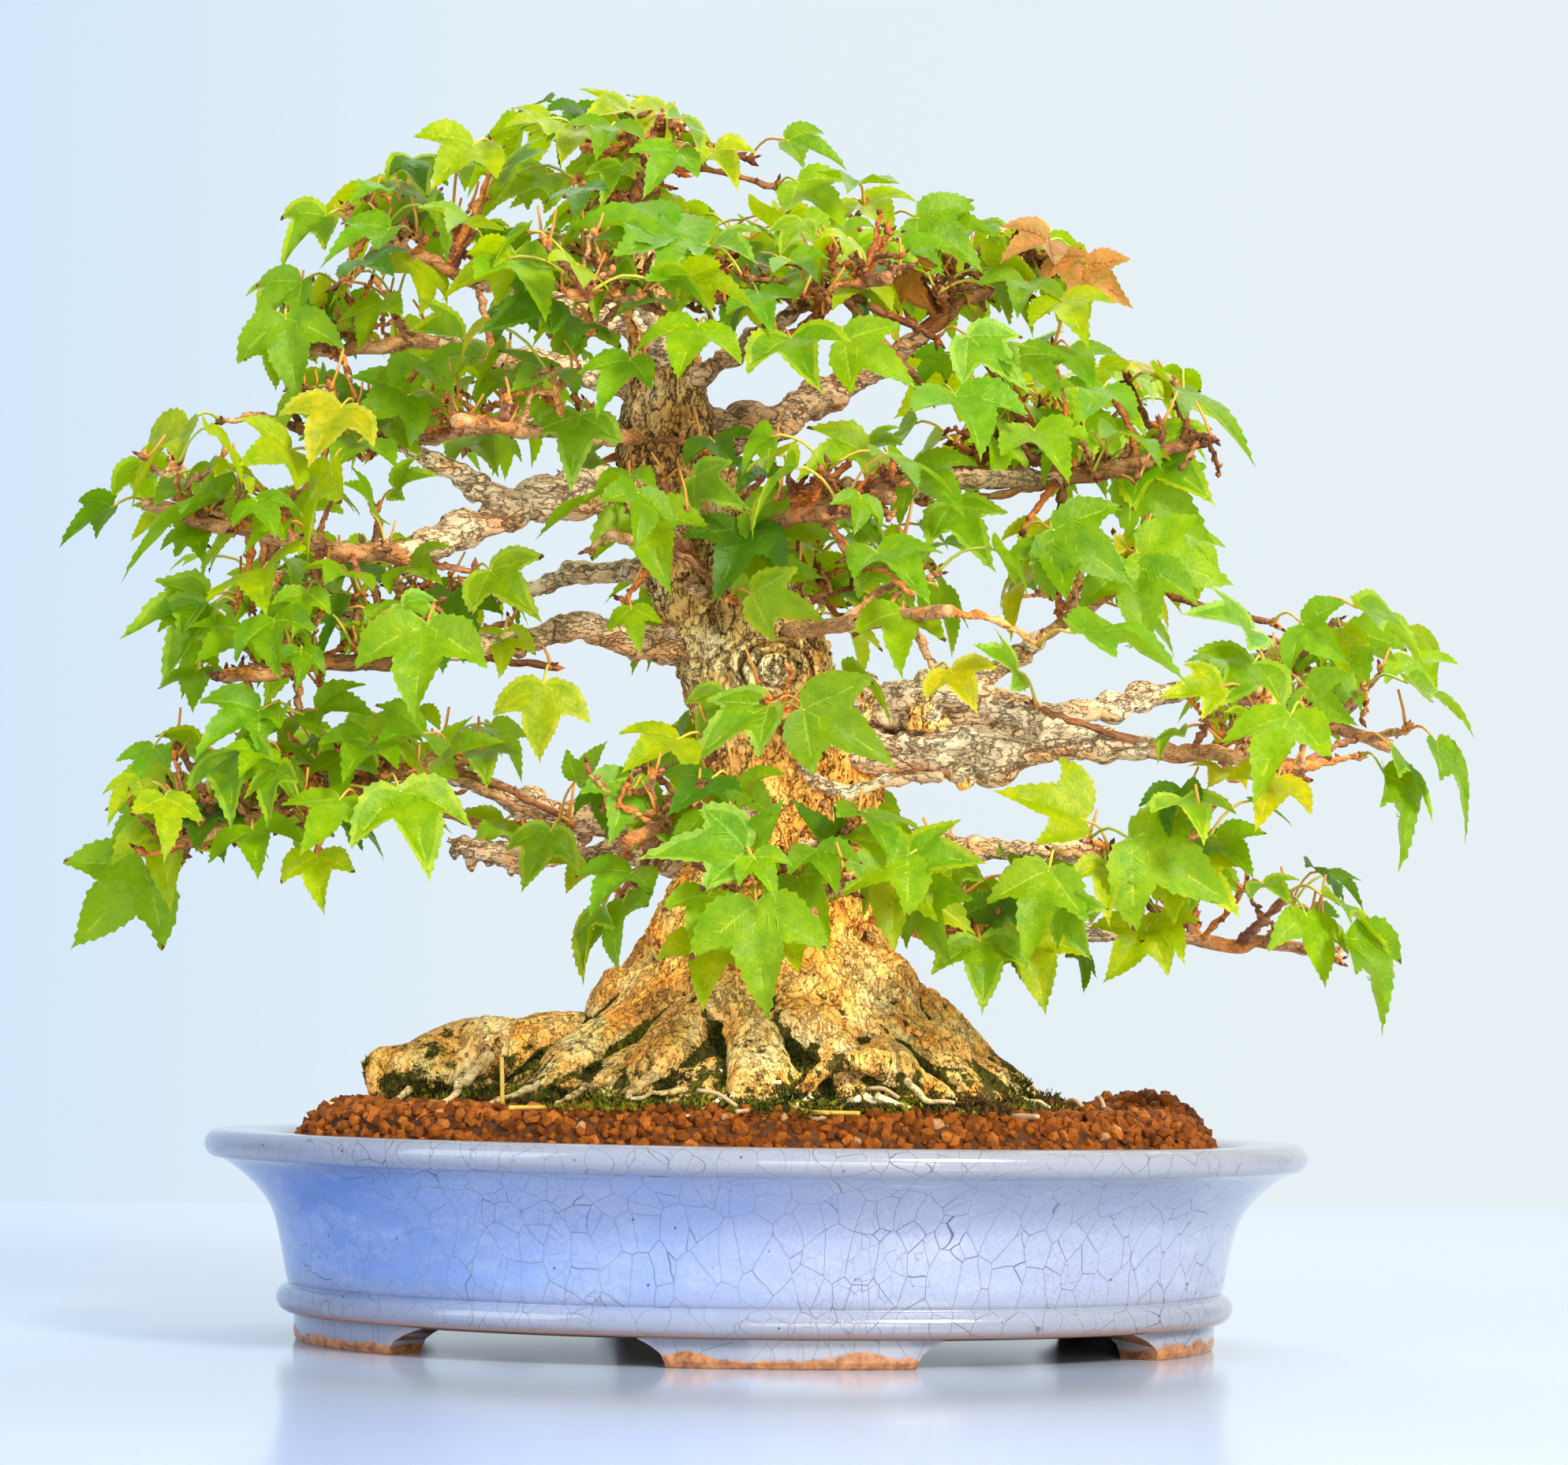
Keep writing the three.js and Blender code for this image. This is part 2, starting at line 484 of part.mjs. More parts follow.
// A leaf on its stalk: a three-sided prism from start to foot that opens into two low cones of facets
// over one lobed outline, the lobes drooping from the middle
function makeLeaf({ start, foot, heading, face, length }, margin) {
  const across = new THREE.Vector3().crossVectors(face, heading);
  const course = foot.clone().sub(start).normalize();
  const back = new THREE.Vector3().crossVectors(course, across).normalize();
  const ring = (centre, radius) => [
    centre.clone().addScaledVector(across, -radius),
    centre.clone().addScaledVector(across, radius),
    centre.clone().addScaledVector(back, 1.4 * radius),
  ];
  const at = (along, side, rise) => foot.clone()
    .addScaledVector(heading, along)
    .addScaledVector(across, side)
    .addScaledVector(face, rise);
  const lobes = LEAF_OUTLINE.map(([along, side]) => {
    const spread = side * length + margin * Math.sign(side);
    const fall = -LOBE_FALL * length * (Math.abs(side) + Math.max(0, along - LEAF_CENTRE));
    return at(along * length + (side === 0 ? margin : 0), spread, fall);
  });
  const [near, far, behind] = ring(foot, TWIG_TIP + margin / 3);
  const rim = [near, ...lobes, far];
  const rise = LEAF_THICKNESS / 2 + margin;
  const corners = [...rim, behind, ...ring(start, TWIG_ROOT + margin / 3)];
  const footRight = rim.length - 1;
  const [footBack, rootLeft, rootRight, rootBack] = [0, 1, 2, 3].map((step) => rim.length + step);
  const [above, below] = [corners.length, corners.length + 1];
  corners.push(at(LEAF_CENTRE * length, 0, rise), at(LEAF_CENTRE * length, 0, -rise));
  const faces = rim.slice(1).flatMap((_, i) => [i, i + 1, above, i + 1, i, below]);
  faces.push(footRight, footBack, above, footBack, 0, above, 0, footRight, below);
  faces.push(footRight, 0, rootLeft, footRight, rootLeft, rootRight);
  faces.push(footBack, footRight, rootRight, footBack, rootRight, rootBack);
  faces.push(0, footBack, rootBack, 0, rootBack, rootLeft);
  faces.push(rootLeft, rootBack, rootRight);
  const geometry = new THREE.BufferGeometry();
  const numbers = corners.flatMap((corner) => corner.toArray());
  geometry.setAttribute('position', new THREE.Float32BufferAttribute(numbers, 3));
  geometry.setIndex(faces);
  return toSolid(geometry);
}

function insideSpace(point, { middle, half }) {
  const share = (axis) => Math.abs(point.getComponent(axis) - middle[axis]) / half[axis];
  return share(0) ** SPACE_POWER + share(1) ** SPACE_POWER + share(2) ** SPACE_POWER <= SPACE_LIMIT;
}

// The way a leaf faces: it heads away from the tree and hangs, and its upper face looks out
function leafPose(foot, mass, draw, turn) {
  const away = new THREE.Vector3(
    (foot.x - mass.middle[0]) / mass.half[0],
    (foot.y - mass.middle[1]) / mass.half[1],
    0,
  );
  const outward = new THREE.Vector3(foot.x, foot.y, 0).normalize();
  const course = away.addScaledVector(outward, OUTWARD_PULL);
  const bearing = Math.atan2(course.y, course.x) + turn + (draw() - 0.5) * LEAF_BEARING_SPREAD;
  const droop = THREE.MathUtils.degToRad(THREE.MathUtils.lerp(...LEAF_DROOP, draw()));
  const heading = new THREE.Vector3(
    Math.cos(bearing) * Math.cos(droop),
    Math.sin(bearing) * Math.cos(droop),
    -Math.sin(droop),
  );
  const face = new THREE.Vector3(0, 0, 1).addScaledVector(heading, -heading.z).normalize();
  face.applyAxisAngle(heading, (draw() - 0.5) * LEAF_ROLL_SPREAD);
  const length = LEAF_LENGTH * THREE.MathUtils.lerp(...LEAF_LENGTH_SHARES, draw());
  return { foot, heading, face, length };
}

// Where along the stem a twig leaves it: a little nearer the root than the stem's closest point
function forkOnStem(stemCurve, end) {
  const steps = Array.from({ length: FORK.count }, (_, i) => FORK.first + i * FORK.step);
  const distance = (step) => stemCurve.getPointAt(step).distanceTo(end);
  const closest = steps.reduce((best, step) => (distance(step) < distance(best) ? step : best));
  return stemCurve.getPointAt(Math.max(FORK.least, closest - FORK.back));
}

// A leaf is tried at a few turns until it stays in the mass's space and misses everything else
function tryLeaf(mass, start, foot, draw) {
  for (let attempt = 0; attempt < LEAF_TRIES; attempt += 1) {
    const swing = attempt * LEAF_SWING * (attempt % 2 === 0 ? 1 : -1);
    const leaf = { start, ...leafPose(foot, mass, draw, swing) };
    const tip = foot.clone().addScaledVector(leaf.heading, leaf.length);
    if (insideSpace(tip, mass)) {
      const shape = { solid: makeLeaf(leaf, 0), swollen: makeLeaf(leaf, LEAF_CLEARANCE) };
      if (isFree(shape, mass.name)) {
        return shape.solid;
      }
    }
  }
  return null;
}

// A mass of foliage: twigs fan from one stem to points spread by the golden angle, a leaf on each
function growFoliage(mass, index, host) {
  const draw = randomStream(1009 * (index + 1));
  const middle = vector(mass.middle);
  const root = host.tip.clone().addScaledVector(host.course, -STEM_SEAT);
  const reach = middle.clone().sub(root);
  const far = middle.clone().add(reach.normalize().multiply(vector(mass.half)).multiplyScalar(STEM_REACH));
  const bend = root.clone().lerp(middle, STEM_BEND.share).addScaledVector(host.course, STEM_BEND.onwards);
  const stemCurve = new THREE.CatmullRomCurve3([root, bend, far]);
  const stemRadius = (along) => THREE.MathUtils.lerp(host.radius, STEM_TIP, along);
  const stem = largestBody(sweep(stemCurve, stemRadius, TWIG_SIDES, STEM_RINGS).subtract(host.grown));
  const parts = [stem];
  const [halfX, halfY, halfZ] = mass.half;
  const { crown, fall, layers, chance } = DOME;
  const wanted = Math.round((halfX * halfY * halfZ) / SPACE_PER_LEAF);
  for (let i = 0; i < CANDIDATES * wanted && parts.length <= wanted; i += 1) {
    const turn = i * GOLDEN_ANGLE + index;
    const rim = Math.sqrt(((i + 0.5) / wanted) % 1);
    const layer = (i % LAYERS) / (LAYERS - 1) - 0.5;
    const end = new THREE.Vector3(
      middle.x + TWIG_REACH * halfX * rim * Math.cos(turn),
      middle.y + TWIG_REACH * halfY * rim * Math.sin(turn),
      middle.z + halfZ * (crown - fall * rim * rim + layers * layer + chance * (draw() - 0.5)),
    );
    const leaf = tryLeaf(mass, forkOnStem(stemCurve, end), end, draw);
    if (leaf) {
      parts.push(leaf);
      claim(leaf, mass.name);
    }
  }
  claim(stem, mass.name);
  return largestBody(join(parts));
}

function named(name, solid, finish) {
  const mesh = new THREE.Mesh(toGeometry(solid), new THREE.MeshStandardMaterial(FINISH[finish]));
  mesh.name = name;
  return mesh;
}

const bonsai = new THREE.Group();
const tree = new THREE.Group();
tree.rotation.z = TREE_TURN;
bonsai.add(tree);
bonsai.add(named('pot', makePot(), 'pot'));
bonsai.add(named('soil', makeSoil(), 'soil'));

const trunk = makeTrunk(0);
const grownTrunk = makeTrunk(GAP);
tree.add(named('trunk', trunk, 'bark'));
claim(trunk, 'trunk');

const grownBoughs = {};
for (const bough of BOUGHS) {
  const others = join([grownTrunk, ...Object.values(grownBoughs)]);
  const solid = largestBody(boughShape(bough, 0).subtract(others));
  grownBoughs[bough.name] = boughShape(bough, GAP);
  tree.add(named(`bough_${bough.name}`, solid, 'bark'));
  claim(solid, bough.name);
}

MASSES.forEach((mass, index) => {
  const bough = BOUGHS.find(({ name }) => name === mass.name);
  const tip = bough ? vector(bough.tip) : trunkPlace(mass.trunk);
  const host = {
    tip,
    course: bough ? boughCourse(bough) : vector(mass.middle).sub(tip).normalize(),
    radius: bough ? bough.thick[1] : STEM_ROOT,
    grown: bough ? grownBoughs[mass.name] : grownTrunk,
  };
  tree.add(named(`foliage_${mass.name}`, growFoliage(mass, index, host), 'foliage'));
});

// The origin moves under the middle of the whole plant
bonsai.updateMatrixWorld(true);
const extent = new THREE.Box3().setFromObject(bonsai, true);
const centre = extent.getCenter(new THREE.Vector3());
bonsai.position.set(-centre.x, -centre.y, -extent.min.z);

export default bonsai;
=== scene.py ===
import math

import bpy
import numpy as np
from mathutils import Matrix, Vector
from mathutils.geometry import delaunay_2d_cdt


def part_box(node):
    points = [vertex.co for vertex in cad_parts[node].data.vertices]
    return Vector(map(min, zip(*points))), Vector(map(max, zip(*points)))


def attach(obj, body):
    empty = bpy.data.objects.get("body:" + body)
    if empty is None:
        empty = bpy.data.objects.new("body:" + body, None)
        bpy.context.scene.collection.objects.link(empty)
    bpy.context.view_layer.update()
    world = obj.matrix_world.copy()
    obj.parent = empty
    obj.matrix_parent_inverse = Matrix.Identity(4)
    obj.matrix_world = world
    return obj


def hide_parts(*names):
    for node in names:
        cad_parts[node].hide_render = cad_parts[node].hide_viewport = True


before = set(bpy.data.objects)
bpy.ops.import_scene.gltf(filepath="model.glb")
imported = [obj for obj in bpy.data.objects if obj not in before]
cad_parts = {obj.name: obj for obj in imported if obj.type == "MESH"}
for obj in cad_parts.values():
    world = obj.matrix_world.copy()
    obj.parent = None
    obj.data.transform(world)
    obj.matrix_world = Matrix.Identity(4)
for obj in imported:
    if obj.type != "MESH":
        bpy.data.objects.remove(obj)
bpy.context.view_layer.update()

# Lengths below are in millimetres in a frame centred on the pot, and MM turns them into metres.
MM = 0.001
TREE_TURN = math.radians(-6.12)

pot_low, pot_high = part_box("pot")
POT_CENTRE = np.array([(pot_low.x + pot_high.x) / 2, (pot_low.y + pot_high.y) / 2, 0.0])

# ---- The plant's named sizes, as in the part's source ----
TRUNK = np.array([
    # height, sideways, backwards, radius
    (76, 3, 0, 59), (96, 3, 0, 54), (118, 2, 0, 47), (138, 2, 0, 37), (160, 9, -1, 30.5),
    (188, 13, -2, 26), (212, 3, -3, 23.5), (240, -9, -3, 25), (268, -22, -2, 21.5),
    (298, -34, 0, 18.5), (324, -36, -1, 13), (350, -43, -4, 7.5), (378, -49, -6, 3.6)], float)
BASE_SLIMMING = (0.16, 140, 60)
SOIL_TOP = 78.0

ROOTS = [
    # heading, start, reach, crest, thick, end, blunt
    (183, 24, 132, 90.5, 18.5, 13, True), (214, 24, 98, 94, 18, 9, False), (240, 26, 84, 97, 18, 8, False),
    (268, 24, 80, 96, 17, 9, False), (296, 26, 82, 94, 16, 8, False), (326, 24, 92, 96, 18, 8, False),
    (356, 22, 95, 100, 19, 9, False), (34, 24, 84, 96, 17, 8, False), (78, 24, 74, 96, 17, 9, False),
    (118, 24, 78, 94, 17, 8, False), (150, 24, 90, 96, 17, 8, False)]

BOUGHS = {
    "low_left": ((0, -4, 162), (-70, -27, 177), (-112, -39, 190), (7, 3)),
    "low_left_rear": ((0, 4, 158), (-63, 14, 165), (-105, 34, 177), (6, 2.6)),
    "mid_left": ((-5, -2, 228), (-60, -27, 236), (-107, -46, 227), (8, 3)),
    "mid_left_rear": ((-15, 5, 253), (-55, 38, 265), (-98, 58, 256), (6, 2.6)),
    "high_left": ((-25, -2, 286), (-76, -26, 281), (-121, -46, 258), (9, 3.4)),
    "high_left_fork": ((-84, -30, 277), (-103, -34, 287), (-124, -38, 297), (4.5, 2.4)),
    "crown_left": ((-36, 0, 322), (-78, 8, 332), (-116, 14, 340), (6, 2.5)),
    "crown_left_rear": ((-33, 4, 300), (-60, 40, 316), (-88, 66, 322), (5, 2.3)),
    "top_left": ((-41, -3, 340), (-72, -2, 352), (-103, -4, 358), (4.5, 2.2)),
    "top_front": ((-37, -3, 326), (-40, -32, 340), (-46, -56, 344), (4.5, 2.2)),
    "top_right": ((-35, 2, 303), (14, 14, 321), (52, 24, 348), (10, 2.8)),
    "top_right_front": ((-36, -2, 318), (-10, -26, 334), (10, -46, 344), (4.5, 2.2)),
    "high_right": ((-20, -6, 275), (45, -28, 286), (98, -36, 289), (7, 2.8)),
    "high_right_rear": ((-22, 4, 282), (25, 42, 294), (66, 72, 306), (6, 2.4)),
    "mid_right": ((8, -4, 206), (62, -25, 199), (127, -50, 199), (16, 3.4)),
    "mid_right_rear": ((44, -16, 206), (96, -2, 211), (150, 22, 225), (7, 2.8)),
    "mid_right_upper": ((46, -22, 203), (70, -28, 222), (92, -22, 238), (5, 2.3)),
    "low_right": ((10, -4, 172), (72, -30, 166), (116, -48, 163), (6.5, 2.5)),
    "low_right_rear": ((5, 0, 146), (80, 6, 143), (138, 14, 139), (6, 2.3)),
    "low_front_left": ((5, -5, 168), (-6, -45, 176), (-18, -76, 178), (5, 2.4)),
    "low_front": ((10, -5, 156), (16, -48, 162), (20, -82, 164), (5, 2.4)),
}

MASSES = [
    # name, height on the trunk or None, middle, half sizes
    ("low_left", None, (-168, -58, 166), (68, 44, 38)),
    ("low_left_rear", None, (-147, 54, 187), (58, 42, 31)),
    ("mid_left", None, (-152, -62, 218), (58, 42, 30)),
    ("mid_left_rear", None, (-151, 74, 252), (62, 42, 31)),
    ("high_left", None, (-182, -54, 270), (54, 42, 35)),
    ("high_left_fork", None, (-142, -34, 300), (38, 42, 30)),
    ("crown_left", None, (-147, 18, 338), (38, 44, 28)),
    ("crown_left_rear", None, (-112, 90, 320), (52, 40, 34)),
    ("crown_left_front", 304, (-90, -74, 298), (40, 38, 30)),
    ("top_left", None, (-130, -6, 374), (42, 46, 29)),
    ("top_front", None, (-57, -88, 338), (50, 36, 30)),
    ("top_rear", 345, (-38, 78, 372), (72, 42, 38)),
    ("apex", 378, (-47, -6, 398), (73, 50, 32)),
    ("top_right", None, (74, 26, 368), (52, 50, 32)),
    ("top_right_front", None, (26, -74, 345), (46, 40, 34)),
    ("high_right", None, (128, -38, 298), (38, 46, 34)),
    ("high_right_front", 272, (29, -94, 272), (42, 38, 32)),
    ("high_right_rear", None, (98, 90, 314), (63, 42, 38)),
    ("mid_right", None, (158, -60, 194), (36, 38, 30)),
    ("mid_right_rear", None, (195, 28, 212), (52, 48, 46)),
    ("mid_right_upper", None, (110, -12, 252), (46, 48, 32)),
    ("mid_right_front", 238, (48, -82, 238), (38, 36, 30)),
    ("low_right", None, (120, -62, 162), (50, 38, 32)),
    ("low_right_rear", None, (166, 20, 137), (58, 42, 32)),
    ("low_right_front", 148, (80, -52, 134), (28, 34, 30)),
    ("low_front_left", None, (-35, -104, 166), (36, 34, 34)),
    ("low_front", None, (17, -114, 147), (52, 36, 36)),
    ("mid_front", 208, (6, -72, 204), (40, 32, 24)),
    ("high_front", 268, (-46, -74, 262), (32, 34, 26)),
    ("low_rear", 176, (2, 100, 188), (66, 46, 40)),
    ("mid_rear", 246, (8, 100, 260), (72, 46, 42)),
]

# The foliage rule's values
SPACE_POWER = 3
SPACE_LIMIT = 1.25
GOLDEN_ANGLE = math.pi * (3 - math.sqrt(5))
STEM_ROOT, STEM_TIP, STEM_SEAT, STEM_REACH, STEM_RINGS = 3, 2.2, 1.5, 0.45, 40
TWIG_REACH, TWIG_RINGS = 0.7, 14

# The camera, found from the photo: how far away, how high and how far aside it stands, and its focal length
CAMERA_AWAY, CAMERA_HEIGHT, CAMERA_ASIDE, FOCAL = 1340.0, 103.5, 5.8, 5005.0
CAMERA_TURN, CAMERA_PITCH, CAMERA_ROLL = math.radians(-6.12), math.radians(4.36), -0.01686
PHOTO_WIDTH, PHOTO_HEIGHT = 1988, 1857
SENSOR = 36.0


# ---- Small tools ----
def photo_spot(u, v, depth):
    """The place in the tree's frame that the photo shows at a pixel, at a depth behind the pot's middle."""
    across, down = u - PHOTO_WIDTH / 2, v - PHOTO_HEIGHT / 2
    c, s = math.cos(CAMERA_ROLL), -math.sin(CAMERA_ROLL)
    side, rise = (across * c + down * s) / FOCAL, (across * s - down * c) / FOCAL
    ahead = math.cos(CAMERA_PITCH) - rise * math.sin(CAMERA_PITCH)
    up = math.sin(CAMERA_PITCH) + rise * math.cos(CAMERA_PITCH)
    reach = (CAMERA_AWAY + depth) / ahead
    return np.array([CAMERA_ASIDE + side * reach, depth, CAMERA_HEIGHT + up * reach])


def photo_pixel(point):
    """The pixel at which the photo shows a place in the tree's frame."""
    side, ahead, rise = point[0] - CAMERA_ASIDE, point[1] + CAMERA_AWAY, point[2] - CAMERA_HEIGHT
    far = ahead * math.cos(CAMERA_PITCH) + rise * math.sin(CAMERA_PITCH)
    up = rise * math.cos(CAMERA_PITCH) - ahead * math.sin(CAMERA_PITCH)
    c, s = math.cos(CAMERA_ROLL), -math.sin(CAMERA_ROLL)
    across, down = FOCAL * side / far, -FOCAL * up / far
    return PHOTO_WIDTH / 2 + across * c - down * s, PHOTO_HEIGHT / 2 + across * s + down * c


def random_stream(seed):
    """Repeatable random numbers between 0 and 1, the same as in the part's source."""
    state = seed & 0xFFFFFFFF

    def product(a, b):
        return (a * b) & 0xFFFFFFFF

    def draw():
        nonlocal state
        state = (state + 0x6D2B79F5) & 0xFFFFFFFF
        mixed = product(state ^ (state >> 15), 1 | state)
        mixed = ((mixed + product(mixed ^ (mixed >> 7), 61 | mixed)) & 0xFFFFFFFF) ^ mixed
        return ((mixed ^ (mixed >> 14)) & 0xFFFFFFFF) / 2 ** 32
    return draw


def stray(draw, drop=0.5):
    """A random way out of the middle; a smaller drop makes it tend upwards."""
    return np.array([draw() - 0.5, draw() - 0.5, draw() - drop])


def between(ends, draw):
    return ends[0] + (ends[1] - ends[0]) * draw()


def unit(v):
    v = np.asarray(v, float)
    size = np.linalg.norm(v)
    return v / size if size > 1e-12 else v


def way_of(turn, rise=0.0):
    """The unit vector at an angle round the upright and an angle above the level."""
    return np.array([math.cos(turn) * math.cos(rise), math.sin(turn) * math.cos(rise), math.sin(rise)])


def quad(a, b, c, d):
    return [(a, b, c), (a, c, d)]


def within(point, loop):
    """Whether a flat point lies inside a closed loop of points."""
    x, y = point
    a, b = loop, np.roll(loop, -1, axis=0)
    crosses = (a[:, 1] > y) != (b[:, 1] > y)
    run = np.where(b[:, 1] == a[:, 1], 1, b[:, 1] - a[:, 1])
    return bool((crosses & (x < (b[:, 0] - a[:, 0]) * (y - a[:, 1]) / run + a[:, 0])).sum() % 2)


def turn_points(points, angle=TREE_TURN):
    c, s = math.cos(angle), math.sin(angle)
    p = np.asarray(points, float)
    return np.stack([p[..., 0] * c - p[..., 1] * s, p[..., 0] * s + p[..., 1] * c, p[..., 2]], axis=-1)


def spline(points, count):
    """Evenly spaced points on a centripetal Catmull-Rom curve through the given points."""
    p = np.asarray(points, float)
    p = np.vstack([2 * p[0] - p[1], p, 2 * p[-1] - p[-2]])
    fine = []
    steps = 40
    for i in range(len(p) - 3):
        p0, p1, p2, p3 = p[i:i + 4]
        d0, d1, d2 = (max(1e-4, np.linalg.norm(b - a)) ** 0.5 for a, b in ((p0, p1), (p1, p2), (p2, p3)))
        t1 = ((p1 - p0) / d0 - (p2 - p0) / (d0 + d1) + (p2 - p1) / d1) * d1
        t2 = ((p2 - p1) / d1 - (p3 - p1) / (d1 + d2) + (p3 - p2) / d2) * d1
        t = np.linspace(0, 1, steps, endpoint=False)[:, None]
        fine.append(p1 + t1 * t + (-3 * p1 + 3 * p2 - 2 * t1 - t2) * t ** 2 + (2 * p1 - 2 * p2 + t1 + t2) * t ** 3)
    fine = np.vstack(fine + [p[-2:-1]])
    length = np.concatenate([[0], np.cumsum(np.linalg.norm(np.diff(fine, axis=0), axis=1))])
    at = np.linspace(0, length[-1], count)
    return np.stack([np.interp(at, length, fine[:, k]) for k in range(3)], axis=1)


def lattice_noise(points, seed=0):
    """Smooth noise between -1 and 1 at points given in cells."""
    p = np.asarray(points, float)
    cell = np.floor(p).astype(np.int64)
    f = p - cell
    f = f * f * (3 - 2 * f)
    total = np.zeros(len(p))
    for dx in (0, 1):
        for dy in (0, 1):
            for dz in (0, 1):
                h = (cell[:, 0] + dx) * 374761393 + (cell[:, 1] + dy) * 668265263
                h = (h + (cell[:, 2] + dz) * 1440670441 + seed * 982451653) & 0xFFFFFFFF
                h = ((h ^ (h >> 13)) * 1274126177) & 0xFFFFFFFF
                h = ((h ^ (h >> 16)) & 0xFFFFFFFF) / 2 ** 32
                w = (f[:, 0] if dx else 1 - f[:, 0]) * (f[:, 1] if dy else 1 - f[:, 1])
                total += w * (f[:, 2] if dz else 1 - f[:, 2]) * h
    return total * 2 - 1


class Pile:
    """Points and triangles gathered from many small shapes, each with a material slot."""

    def __init__(self):
        self.points, self.faces, self.slots, self.count = [], [], [], 0

    def add(self, points, faces, slot=0):
        self.points.append(np.asarray(points, float))
        self.faces.append(np.asarray(faces, np.int64) + self.count)
        self.slots.append(np.broadcast_to(slot, len(faces)))
        self.count += len(points)

    def arrays(self):
        return np.vstack(self.points), np.vstack(self.faces), np.concatenate(self.slots)

    def halves(self):
        """The shapes left of the middle and those right of it, as two piles."""
        parts, passed = (Pile(), Pile()), 0
        for points, faces, slots in zip(self.points, self.faces, self.slots):
            parts[int(points[:, 0].mean() > 0)].add(points, faces - passed, slots)
            passed += len(points)
        return parts

    def build(self, name, materials, smooth=True):
        points, faces, slots = self.arrays()
        return mesh_piece(name, points * MM + POT_CENTRE, faces, materials, slots, smooth)


def mesh_piece(name, points, faces, materials, slots=None, smooth=True):
    mesh = bpy.data.meshes.new(name)
    faces = np.asarray(faces, np.int32)
    width = faces.shape[1]
    mesh.vertices.add(len(points))
    mesh.vertices.foreach_set("co", np.asarray(points, np.float32).ravel())
    mesh.loops.add(faces.size)
    mesh.loops.foreach_set("vertex_index", faces.ravel())
    mesh.polygons.add(len(faces))
    mesh.polygons.foreach_set("loop_start", np.arange(0, faces.size, width, dtype=np.int32))
    if slots is not None:
        mesh.polygons.foreach_set("material_index", np.asarray(slots, np.int32))
    mesh.polygons.foreach_set("use_smooth", np.full(len(faces), smooth))
    mesh.update(calc_edges=True)
    mesh.validate()
    for material in materials:
        mesh.materials.append(material)
    piece = bpy.data.objects.new(name, mesh)
    bpy.context.scene.collection.objects.link(piece)
    return piece


def shell_faces(rings, sides):
    """Triangles of a closed tube: its walls, and at each end a fan round one of the two last points."""
    around = np.arange(sides)
    after, top = (around + 1) % sides, (rings - 1) * sides
    starts = np.arange(rings - 1)[:, None] * sides
    low, beside = (starts + around).ravel(), (starts + after).ravel()
    return np.vstack([np.stack(corners, 1) for corners in (
        (low, beside, beside + sides), (low, beside + sides, low + sides),
        (np.full(sides, rings * sides), after, around),
        (np.full(sides, rings * sides + 1), top + around, top + after))])


def tube(path, radii, sides):
    """A closed tube along a path: radii is one number a ring, or a table of rings by sides."""
    path, radii = np.asarray(path, float), np.asarray(radii, float)
    if radii.ndim == 1:
        radii = np.repeat(radii[:, None], sides, axis=1)
    tangent = np.gradient(path, axis=0)
    tangent /= np.maximum(np.linalg.norm(tangent, axis=1), 1e-9)[:, None]
    normal = unit(np.cross(tangent[0], (0, 0, 1) if abs(tangent[0][2]) < 0.9 else (1, 0, 0)))
    angle = np.arange(sides) * 2 * math.pi / sides
    points = np.empty((len(path), sides, 3))
    for i, ahead in enumerate(tangent):
        normal = unit(normal - ahead * (normal @ ahead))
        ring = np.cos(angle)[:, None] * normal + np.sin(angle)[:, None] * np.cross(ahead, normal)
        points[i] = path[i] + ring * radii[i][:, None]
    return np.vstack([points.reshape(-1, 3), path[0], path[-1]]), shell_faces(len(path), sides)


def ball(centre, size, turns=12, rings=8):
    """A closed ellipsoid of triangles."""
    theta = np.linspace(0, math.pi, rings + 1)[1:-1]
    phi = np.arange(turns) * 2 * math.pi / turns
    shell = np.stack([
        np.outer(np.sin(theta), np.cos(phi)), np.outer(np.sin(theta), np.sin(phi)),
        np.repeat(np.cos(theta)[:, None], turns, axis=1)], axis=-1).reshape(-1, 3)
    points = np.vstack([shell, (0, 0, 1), (0, 0, -1)]) * np.asarray(size, float) + np.asarray(centre, float)
    return points, shell_faces(len(theta), turns)[:, [0, 2, 1]]


def fused(name, pile, voxel, softening):
    """The pile's closed shapes run together into one even skin: points and outward normals in millimetres."""
    points, faces, _ = pile.arrays()
    rough = mesh_piece(name, points * MM, faces, [])
    remesh = rough.modifiers.new("Union", "REMESH")
    remesh.mode = "VOXEL"
    remesh.voxel_size = voxel * MM
    soften = rough.modifiers.new("Soften", "SMOOTH")
    soften.factor = 0.5
    soften.iterations = softening
    bpy.context.view_layer.update()
    graph = bpy.context.evaluated_depsgraph_get()
    mesh = bpy.data.meshes.new_from_object(rough.evaluated_get(graph))
    bpy.data.objects.remove(rough)
    mesh.calc_loop_triangles()

    def triples(items, key, kind):
        values = np.empty(len(items) * 3, kind)
        items.foreach_get(key, values)
        return values.reshape(-1, 3)
    faces = triples(mesh.loop_triangles, "vertices", np.int32)
    where = triples(mesh.vertices, "co", np.float32).astype(float) / MM
    facing = triples(mesh.vertex_normals, "vector", np.float32).astype(float)
    bpy.data.meshes.remove(mesh)
    return where, faces, facing


# ---- Materials ----
def srgb(r, g, b):
    """A colour given as seen on the screen, from 0 to 255, as a linear colour."""
    def linear(c):
        c /= 255
        return c / 12.92 if c <= 0.04045 else ((c + 0.055) / 1.055) ** 2.4
    return (linear(r), linear(g), linear(b), 1.0)


